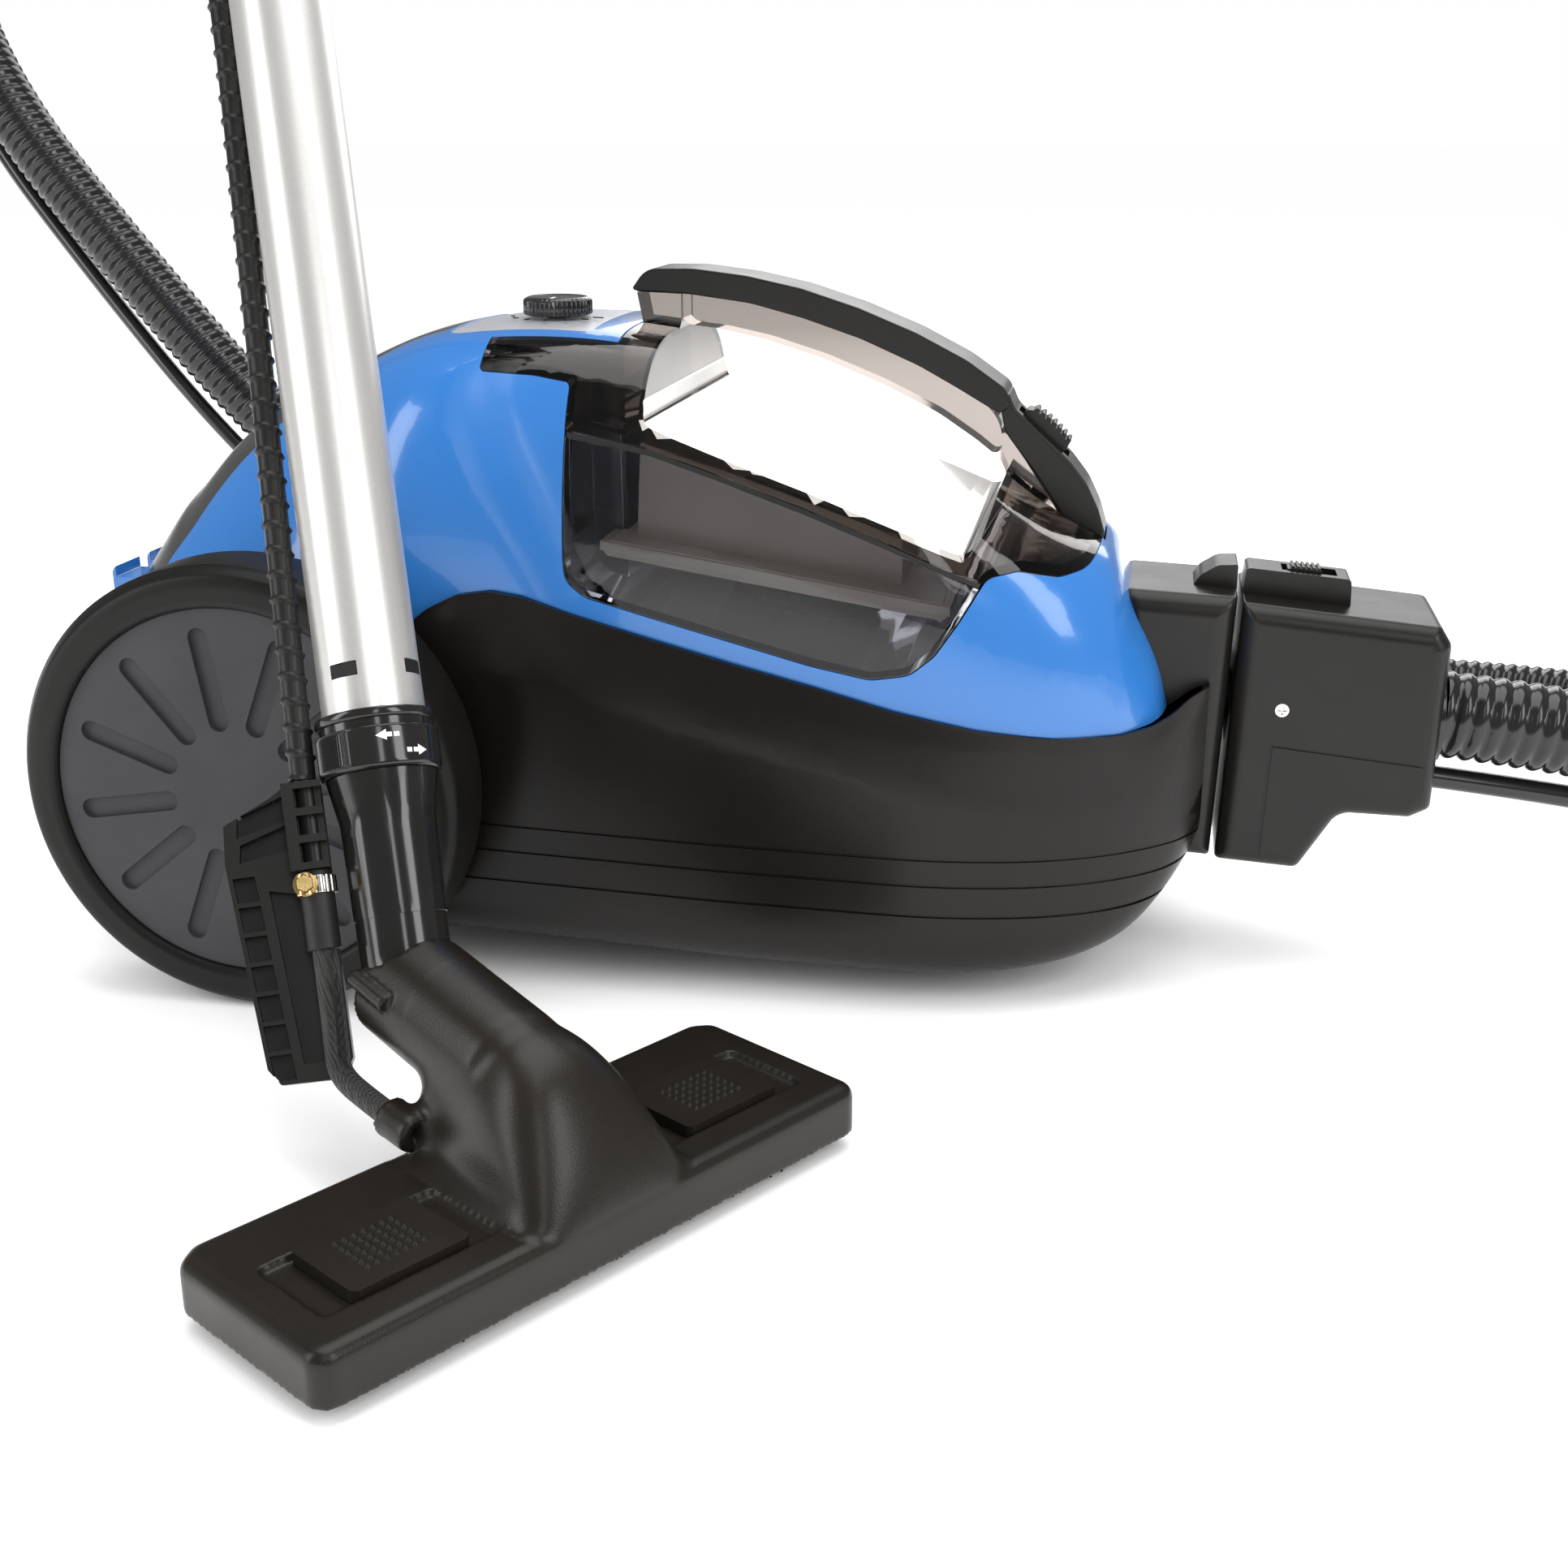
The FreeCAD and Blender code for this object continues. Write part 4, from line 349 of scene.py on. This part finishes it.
WATER = [
    (487.2, 0.0, 84.5), (551.6, 0.8, 78.8), (616.6, 8.9, 64.7), (683.3, 50.7, 42.3), (725.1, 119.5, 22.0),
    (733.6, 199.1, 10.1), (710.1, 272.6, 5.9), (661.5, 327.3, 5.3), (594.1, 354.2, 5.3), (503.0, 363.4, 5.3),
    (374.3, 371.3, 5.3), (238.7, 370.3, 5.3), (100.4, 363.3, 5.3), (-34.4, 358.1, 20.1), (-141.8, 357.5, 67.0),
    (-245.0, 361.2, 160.2), (-337.2, 386.1, 256.4), (-423.0, 410.6, 352.7), (-475.1, 441.0, 448.5),
    (-493.6, 474.1, 541.5), (-485.8, 502.5, 634.1), (-458.9, 521.3, 725.4), (-422.8, 524.9, 811.7),
    (-382.4, 507.4, 890.3), (-346.1, 466.6, 957.2), (-306.5, 410.7, 1003.0), (-264.4, 337.8, 1010.1),
    (-223.6, 258.8, 984.0), (-152.5, 144.8, 943.0), (-127.6, 115.6, 880.0),
]


hose_line = route_line(HOSE, "hose_route")
PITCH = 0.0072
hose_path = resample(hose_line, PITCH / 8)


def hose_r(s, a):
    ph = (s / PITCH + a / (2 * math.pi)) % 1.0
    k = 0.5 + 0.5 * math.cos(2 * math.pi * ph)
    return 0.0174 + 0.0016 * k ** 0.6


hose = tube_mesh("suction_hose_ribbed", hose_path, hose_r, M["hose_black"], segs=32)
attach(hose, "cleaner")
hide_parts("suction_hose")
water_line = route_line(WATER, "water_route")
water_path = resample(water_line, 0.008)
water = tube_mesh("hose_water_tube_smooth", water_path, lambda s, a: 0.005, M["tube_black"], segs=20)
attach(water, "cleaner")
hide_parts("hose_water_tube")

# ---------------------------------------------------------------- wand frame
RG = V((92.24, -217.49, 154.09))
T = V((-0.2338, 0.4006, 0.8859)).normalized()
E = V((-0.9139, -0.4020, -0.0594))
E = (E - T * E.dot(T)).normalized()
N_ = E.cross(T).normalized()
if N_.y > 0:
    N_ = -N_
A2 = 834.0


def wp(a, e=0.0, n=0.0):
    q = RG + T * a + E * e + N_ * n
    return P(*q)


def lathe_w(name, prof, m, rmod=None, segs=96, body="cleaner", smooth=35):
    """Surface of revolution round the wand's axis; prof is (a, r) in mm."""
    vs, fs = [], []
    for a, r in prof:
        for k in range(segs):
            t = 2 * math.pi * k / segs
            rr = r + (rmod(a, r, t) if rmod else 0.0)
            vs.append(wp(a, rr * math.cos(t), rr * math.sin(t)))
    n = len(prof)
    for i in range(n):
        j = (i + 1) % n
        for k in range(segs):
            k2 = (k + 1) % segs
            fs.append((i * segs + k, i * segs + k2, j * segs + k2, j * segs + k))
    return obj(name, vs, fs, m, smooth, body)


# lock collar: flange, groove, fine ribs on its left half
def collar_mod(a, r, t):
    if r < 21.0 or not (-20.0 < a < -7.0):
        return 0.0
    d = (math.degrees(t) + 360) % 360
    if 330 <= d or d <= 62:
        return -0.45 * (0.5 + 0.5 * math.cos(math.radians(d) * 120))
    if 200 <= d <= 250:
        return -0.45 * (0.5 + 0.5 * math.cos(math.radians(d) * 120))
    return 0.0


ci = 18.6
collar = lathe_w("lock_collar_ribbed", [(-21.5, ci), (-21.5, 20.4), (-21.1, 21.1), (-20.4, 21.5), (-19.6, 21.6), (-19.0, 21.6), (-7.9, 21.6), (-7.2, 21.6), (-6.8, 21.4),
                                        (-6.5, 20.9), (-6.4, 20.2), (-3.8, 20.2), (-3.6, 20.7), (-3.2, 21.1), (-2.6, 21.3), (-0.8, 21.3), (-0.2, 21.0), (0.0, 20.4), (0.0, ci)],
                 M["black_gloss"], collar_mod, segs=720, body="collar", smooth=40)
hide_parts("lock_collar")


def arrow(name, a0, t0, direction):
    """Flat arrow printed on the collar; t0 is its middle in degrees."""
    shape = [(-4.2, -0.8), (0.4, -0.8), (0.4, -1.9), (4.2, 0.0), (0.4, 1.9), (0.4, 0.8), (-4.2, 0.8)]
    vs = []
    for lift in (21.62, 21.72):
        for x, y in shape:
            t = math.radians(t0 + direction * x / 21.6 * 57.2958)
            vs.append(wp(a0 + y, lift * math.cos(t), lift * math.sin(t)))
    n = len(shape)
    fs = [tuple(range(n - 1, -1, -1)), tuple(range(n, 2 * n))] + [(i, (i + 1) % n, n + (i + 1) % n, n + i) for i in range(n)]
    return obj(name, vs, fs, M["mark_white"], 30, "collar")


arrow("collar_arrow_left", -10.6, 100, -1)
arrow("collar_arrow_right", -16.4, 128, 1)

# ribbed conduit beside the wand
WE, CE, CN, CLA = 27.3, 21.3, -12.0, 260.0
cpath = []
k = 0
for i in range(0, 841):
    a = -20 + i * (A2 - 12.0) / 840.0
    if a > A2 - 32:
        break
    f = min(1.0, max(0.0, (a + 20) / 280.0))
    f = f * f * (3 - 2 * f) * 0.25 + f * 0.75
    cpath.append(wp(a, WE + (CE - WE) * f, CN * f))


def conduit_r(s, a):
    ph = (s / 0.0094 + 0.12 * math.cos(a)) % 1.0
    d = min(ph, 1 - ph)
    return 0.0045 + (0.0009 * (1 - (d / 0.11) ** 2) if d < 0.11 else 0.0)


conduit = tube_mesh("wand_water_conduit", resample(cpath, 0.00078), conduit_r, M["conduit_black"], segs=24)
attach(conduit, "cleaner")
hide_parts("wand_water_tube")

# ---------------------------------------------------------------- nozzle frame
HA = rad(57.0)
AH = V((math.cos(HA), math.sin(HA), 0))
DH = V((math.sin(HA), -math.cos(HA), 0))
SD = DH * math.cos(rad(13.0)) - V((0, 0, math.sin(rad(13.0))))
HC = V((171.9, -291.9, 0))
Q = V((114.74, -256.04, 68.83))


def hp(x, y, z=0.0):
    q = HC + AH * x + DH * y
    return P(q.x, q.y, z)


def hl(p):
    """Nozzle coordinates in mm of a point in metres."""
    q = V((p.x * 1000 + OX, p.y * 1000 + OY, p.z * 1000)) - HC
    return q.dot(AH), q.dot(DH), p.z * 1000


# nozzle head: the moulding's valleys run out in soft fillets
head = polish("nozzle_head", width=0, dissolve=0)
rm = head.modifiers.new("vox", "REMESH")
rm.mode = "VOXEL"
rm.voxel_size = 0.0010
dg = bpy.context.evaluated_depsgraph_get()
me = bpy.data.meshes.new_from_object(head.evaluated_get(dg))
head.modifiers.clear()
old = head.data
head.data = me
bm = bmesh.new()
bm.from_mesh(me)
bm.verts.ensure_lookup_table()


def soft(v):
    x, y, z = hl(v.co)
    ax = abs(x)
    if z < 21.5 or y < -44:
        return 0.0
    w = min(1.0, (z - 21.5) / 3.5)
    if y > -39 and ax > 34:
        w *= max(0.0, 1 - (ax - 34) / 1.6)
    if y > 38:
        w *= max(0.0, 1 - (y - 38) / 2.0)
    return w


wt = [soft(v) for v in bm.verts]
vl = [v for v in bm.verts]
idx = [[e.other_vert(v).index for e in v.link_edges] for v in vl]
import numpy as np
mx = max(len(q) for q in idx)
ring = np.array([q + [q[0]] * (mx - len(q)) for q in idx])
cnt = np.array([len(q) for q in idx], float)
msk = np.array([[1.0] * len(q) + [0.0] * (mx - len(q)) for q in idx])
co_ = np.array([v.co[:] for v in vl])
W_ = np.array(wt)[:, None]
tri = None
bm.faces.ensure_lookup_table()
fidx = np.array([[v.index for v in f.verts] for f in bm.faces if len(f.verts) == 4])


def normals(c):
    a_, b_, c_, d_ = (c[fidx[:, i]] for i in range(4))
    fn = np.cross(c_ - a_, d_ - b_)
    out = np.zeros_like(c)
    for i in range(4):
        np.add.at(out, fidx[:, i], fn)
    return out / np.maximum(np.linalg.norm(out, axis=1, keepdims=True), 1e-12)


for it in range(2):
    avg = (co_[ring] * msk[:, :, None]).sum(1) / cnt[:, None]
    co_ = co_ + (avg - co_) * 0.5
for it in range(150):
    avg = (co_[ring] * msk[:, :, None]).sum(1) / cnt[:, None]
    d = avg - co_
    if it % 3 == 0:
        nn = normals(co_)
    out = (d * nn).sum(1, keepdims=True)
    k = np.where(out > 0, 0.9, 0.06)
    co_ = co_ + d * k * W_
for v, c in zip(vl, co_):
    v.co = c
bm.to_mesh(me)
bm.free()
me.materials.clear()
me.materials.append(M["nozzle_black"])
for p in me.polygons:
    p.use_smooth = True
    p.material_index = 0

# brush tufts under both long edges
rng = random.Random(7)
vs, fs = [], []
for y0 in (31.5, -31.5):
    for i in range(130):
        x0 = -91 + 182 * i / 129
        for j in range(3):
            x = x0 + rng.uniform(-0.5, 0.5)
            y = y0 - 1.6 + 1.6 * j + rng.uniform(-0.3, 0.3)
            dx, dy = rng.uniform(-0.9, 0.9), rng.uniform(-0.8, 0.8)
            b = len(vs)
            for z, r, f in ((6.2, 0.62, 0), (3.0, 0.7, 0.5), (0.25 + rng.uniform(0, 0.7), 0.5, 1.0)):
                for q in range(5):
                    a = 2 * math.pi * q / 5
                    vs.append(hp(x + dx * f + r * math.cos(a), y + dy * f + r * math.sin(a), z))
            for lv in (0, 5):
                for q in range(5):
                    fs.append((b + lv + q, b + lv + (q + 1) % 5, b + lv + 5 + (q + 1) % 5, b + lv + 5 + q))
            fs.append(tuple(b + 10 + q for q in range(5)))
brush = obj("brush_tufts", vs, fs, M["bristle"], 50, "nozzle")
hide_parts("brush_strips")

# braided hose runs from the wand down into the nozzle's tilted inlet
nip = (DH + V((0, 0, -0.12))).normalized()
nb0 = HC + AH * -27.5 + DH * -46 + V((0, 0, 35.5))


def wq(a, e=0.0, n=0.0):
    return RG + T * a + E * e + N_ * n


bp = [wq(-66, WE), wq(-84, WE), wq(-100, WE), (wq(-100, WE) + (nb0 - nip * 29)) / 2 + V((0, 0, -2.0)), nb0 - nip * 29 + V((0, 0, 1.5)), nb0 - nip * 12, nb0 + nip * 1.0]
bl = resample(route_line([tuple(q) for q in bp], "braid_route"), 0.0016)
braid = tube_mesh("braided_hose_sleeve", bl, lambda s, a: 0.0043, M["braid_black"], segs=24)
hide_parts("braided_hose")
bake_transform(braid)

# worm clamp: slotted steel band and a yellow hexagon screw
vs, fs = [], []
SEGC = 96
for a, r in ((-60.3, 6.0), (-60.3, 6.9), (-59.8, 7.1), (-54.7, 7.1), (-54.2, 6.9), (-54.2, 6.0)):
    for k in range(SEGC):
        t = 2 * math.pi * k / SEGC
        g = 0.35 if (7.0 < r and k % 4 < 2) else 0.0
        vs.append(wp(a, WE + (r - g) * math.cos(t), (r - g) * math.sin(t)))
for i in range(6):
    for k in range(SEGC):
        fs.append((i * SEGC + k, i * SEGC + (k + 1) % SEGC, ((i + 1) % 6) * SEGC + (k + 1) % SEGC, ((i + 1) % 6) * SEGC + k))
band = obj("worm_clamp_band", vs, fs, M["steel"], 30, "cleaner")
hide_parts("worm_clamp")


def rod(name, c, axis, r, l, m, sides=6, ref=None, body="cleaner", taper=0.9):
    ax = axis.normalized()
    u = (ref - ax * ref.dot(ax)).normalized() if ref else ax.orthogonal().normalized()
    w_ = ax.cross(u)
    v_, f_ = [], []
    for d, rr in ((0, r), (l * 0.85, r), (l, r * taper)):
        for k in range(sides):
            t = 2 * math.pi * k / sides
            q = c + ax * d + u * rr * math.cos(t) + w_ * rr * math.sin(t)
            v_.append(P(*q))
    for i in range(2):
        for k in range(sides):
            f_.append((i * sides + k, i * sides + (k + 1) % sides, (i + 1) * sides + (k + 1) % sides, (i + 1) * sides + k))
    f_.append(tuple(range(sides - 1, -1, -1)))
    f_.append(tuple(range(2 * sides, 3 * sides)))
    return obj(name, v_, f_, m, 30, body)


hc = wq(-57.2, WE + 4.0, 3.5)
rod("clamp_housing", wq(-61.0, WE + 3.4, 6.6), T, 3.4, 7.6, M["brass"], sides=24)
rod("clamp_screw_hex", wq(-57.2, WE + 3.4, 8.6), N_, 3.3, 4.2, M["brass"], sides=6, ref=T)
rod("clamp_screw_flange", wq(-57.2, WE + 3.4, 8.2), N_, 4.2, 0.9, M["brass"], sides=32, ref=T)

# ---------------------------------------------------------------- knob with a fluted rim
vs, fs = [], []
prof = [(276.5, 13.6, 0), (276.9, 14.6, .5), (277.6, 15.0, 1), (282.6, 14.9, 1), (283.3, 14.4, .6), (284.0, 13.2, 0), (284.3, 12.2, 0), (284.0, 11.4, 0), (283.8, 6.0, 0), (283.9, 0.05, 0)]
SEG = 240
for z, r, f in prof:
    for k in range(SEG):
        t = 2 * math.pi * k / SEG
        rr = r - 0.55 * f * (0.5 + 0.5 * math.cos(t * 40)) ** 2
        vs.append(P(104 + rr * math.cos(t), -14 + rr * math.sin(t), z))
for i in range(len(prof) - 1):
    for k in range(SEG):
        fs.append((i * SEG + k, i * SEG + (k + 1) % SEG, (i + 1) * SEG + (k + 1) % SEG, (i + 1) * SEG + k))
fs.append(tuple(range(SEG - 1, -1, -1)))
knob = obj("power_knob_fluted", vs, fs, M["black_gloss"], 40, "knob")
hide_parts("power_knob")
# pointer line and dial marks
vs, fs = [], []


def plate(c, u, w, lu, lw, h):
    b = len(vs)
    for z in (0, h):
        for su, sw in ((-1, -1), (1, -1), (1, 1), (-1, 1)):
            vs.append(P(*(V(c) + V(u) * lu * su + V(w) * lw * sw + V((0, 0, z)))))
    fs.extend([(b, b + 3, b + 2, b + 1), (b + 4, b + 5, b + 6, b + 7)] + [(b + i, b + (i + 1) % 4, b + 4 + (i + 1) % 4, b + 4 + i) for i in range(4)])


plate((104, -21.5, 283.95), (1, 0, 0), (0, 1, 0), 0.6, 3.2, 0.25)
obj("knob_pointer", vs, fs, M["mark_white"], 30, "knob")

vs, fs = [], []
for i in range(7):
    t = rad(-90 + (i - 3) * 26)
    r0 = 19.5
    zt = 275.65
    plate((104 + r0 * math.cos(t), -14 + r0 * math.sin(t), zt), (math.cos(t), math.sin(t), 0), (-math.sin(t), math.cos(t), 0), 0.9 + 0.25 * i, 0.35, 0.45)
obj("panel_dial_marks", vs, fs, M["gap_shade_and_dial_marks"], 30, "cleaner")

# ---------------------------------------------------------------- every other CAD piece, with softened edges
WIDE = {"lower_shell": 0.0008, "upper_cover": 0.0007, "front_port": 0.0016, "connector_shell_right": 0.0016, "connector_shell_left": 0.0016,
        "handle_grip": 0.0045, "handle_front_leg": 0.0016, "tank_lid": 0.0007, "tank_cup": 0.0006, "tyre_right": 0.0014, "tyre_left": 0.0014,
        "wheel_hub_right": 0.0007, "wheel_hub_left": 0.0007, "park_bracket": 0.0014, "nozzle_elbow": 0.0006, "wand_lower_tube": 0.0003, "wand_upper_tube": 0.0003,
        "caster_wheel": 0.0006, "tube_lock_sleeve": 0.0002, "vent_slide_right": 0.00025, "vent_slide_left": 0.00025, "dirt_separator": 0.0005,
        "sole_rollers": 0.0008, "park_hook": 0.0004, "tank_release_slider": 0.0003, "latch_slide": 0.0002, "roller_axles": 0.0002,
        "worm_clamp": 0.0003, "connector_screws": 0.0001, "hose_cuff": 0.0006, "control_panel": 0.0004, "hose_swivel_cuff": 0.001, "handle_pipe": 0.001}
# the lock sleeve takes the near-black colour as painted shade for the gap at the wand joint
MATS = {"tube_lock_sleeve": M["gap_shade_and_dial_marks"]}
done = {"worm_clamp", "suction_hose", "hose_water_tube", "lock_collar", "wand_water_tube", "nozzle_head", "brush_strips", "braided_hose", "power_knob"}
PIECE = {}
for n in frame["nodes"]:
    if n in done:
        continue
    PIECE[n] = polish(n, MATS.get(n), WIDE.get(n, 0.0004), seg=3 if WIDE.get(n, 0) > 0.001 else 2)
# pale cream colour with a strong coat for the floor of the lid's hand hole: painted reflection, a lit copy of the
# smoked lid plastic standing in for the bright light seen there
hole_floor_painted_reflection = mat("smoked_lid_painted_reflection_floor", (0.80, 0.75, 0.71), 0.05, var=0.05, nscale=9, trans=0.35, ior=1.9, coat=1.0, coat_r=0.03, bump=0.02, bscale=40, bdist=0.001)
lm = PIECE["tank_lid"].data
lm.materials.append(hole_floor_painted_reflection)
HF = [(158.0, 249.0), (158.4, 240.0), (170.8, 235.2), (192.0, 227.6), (225.3, 216.0), (258.7, 203.3), (280.0, 195.0), (290.0, 191.5), (295.6, 199.0), (300.0, 214.0)]


def floor_z(x):
    for (x0, z0), (x1, z1) in zip(HF, HF[1:]):
        if x0 <= x <= x1:
            return z0 + (z1 - z0) * (x - x0) / (x1 - x0)
    return None


# faces on the hand-hole floor and its end wall get the painted-reflection colour (slot 1)
for p in lm.polygons:
    c = p.center
    x, z = c.x * 1000 + OX, c.z * 1000
    fz = floor_z(min(max(x, 158.01), 299.9))
    if 157.2 < x < 300.6 and abs(z - fz) < 1.2 and (p.normal.z > 0.25 or abs(p.normal.x) > 0.8):
        p.material_index = 1
    elif 157.2 < x < 158.6 and z > 238 and abs(p.normal.x) > 0.8 and z < 262:
        p.material_index = 1
for n, o in frame["nodes"].items():
    o.data.materials.clear()
    o.data.materials.append(M[SLOT[n]])

# ---------------------------------------------------------------- stage and lights
floor_m = mat("pale_floor", (0.99, 0.99, 0.99), 1.0, var=0.0, nscale=2, bump=0.0)
for n in floor_m.node_tree.nodes:
    if n.type == "BSDF_PRINCIPLED":
        n.inputs["Specular IOR Level"].default_value = 0.0
me = bpy.data.meshes.new("floor")
me.from_pydata([(-30, -30, -0.0002), (30, -30, -0.0002), (30, 30, -0.0002), (-30, 30, -0.0002)], [], [(0, 1, 2, 3)])
fl = bpy.data.objects.new("floor", me)
scene.collection.objects.link(fl)
me.materials.append(floor_m)
w = bpy.data.worlds.new("studio")
scene.world = w
w.use_nodes = True
bg = w.node_tree.nodes["Background"]
bg.inputs["Color"].default_value = (1.0, 1.0, 1.0, 1)
bg.inputs["Strength"].default_value = 0.22
wn_, wl_ = w.node_tree.nodes, w.node_tree.links
bg2 = wn_.new("ShaderNodeBackground")
bg2.inputs["Color"].default_value = (1, 1, 1, 1)
bg2.inputs["Strength"].default_value = 1.0
lp = wn_.new("ShaderNodeLightPath")
ms = wn_.new("ShaderNodeMixShader")
wl_.new(lp.outputs["Is Glossy Ray"], ms.inputs["Fac"])
wl_.new(bg2.outputs[0], ms.inputs[1])
wl_.new(bg.outputs[0], ms.inputs[2])
wl_.new(ms.outputs[0], wn_["World Output"].inputs["Surface"])
w.cycles.sampling_method = "NONE"


def area(name, loc, target, size, power, col=(1, 1, 1), sy=None):
    l = bpy.data.lights.new(name, "AREA")
    l.energy = power
    l.color = col
    l.size = size
    if sy:
        l.shape = "RECTANGLE"
        l.size_y = sy
    o = bpy.data.objects.new(name, l)
    scene.collection.objects.link(o)
    o.location = loc
    d = V(target) - V(loc)
    o.rotation_euler = d.to_track_quat("-Z", "Y").to_euler()
    return o


area("top_softbox", (0.2, 0.3, 2.4), (0.05, 0, 0.1), 2.2, 40)
area("left_softbox", (-1.7, -1.2, 1.0), (0, -0.1, 0.2), 0.7, 15, sy=1.6)
area("right_softbox", (1.8, -0.9, 1.3), (0.1, -0.1, 0.2), 0.7, 17, sy=1.5)
area("rear_softbox", (0.3, 2.2, 1.2), (0.1, 0, 0.2), 1.8, 18, sy=1.2)
area("front_strip", (0.9, -2.0, 1.6), (0.1, -0.1, 0.1), 0.35, 6, sy=1.4)
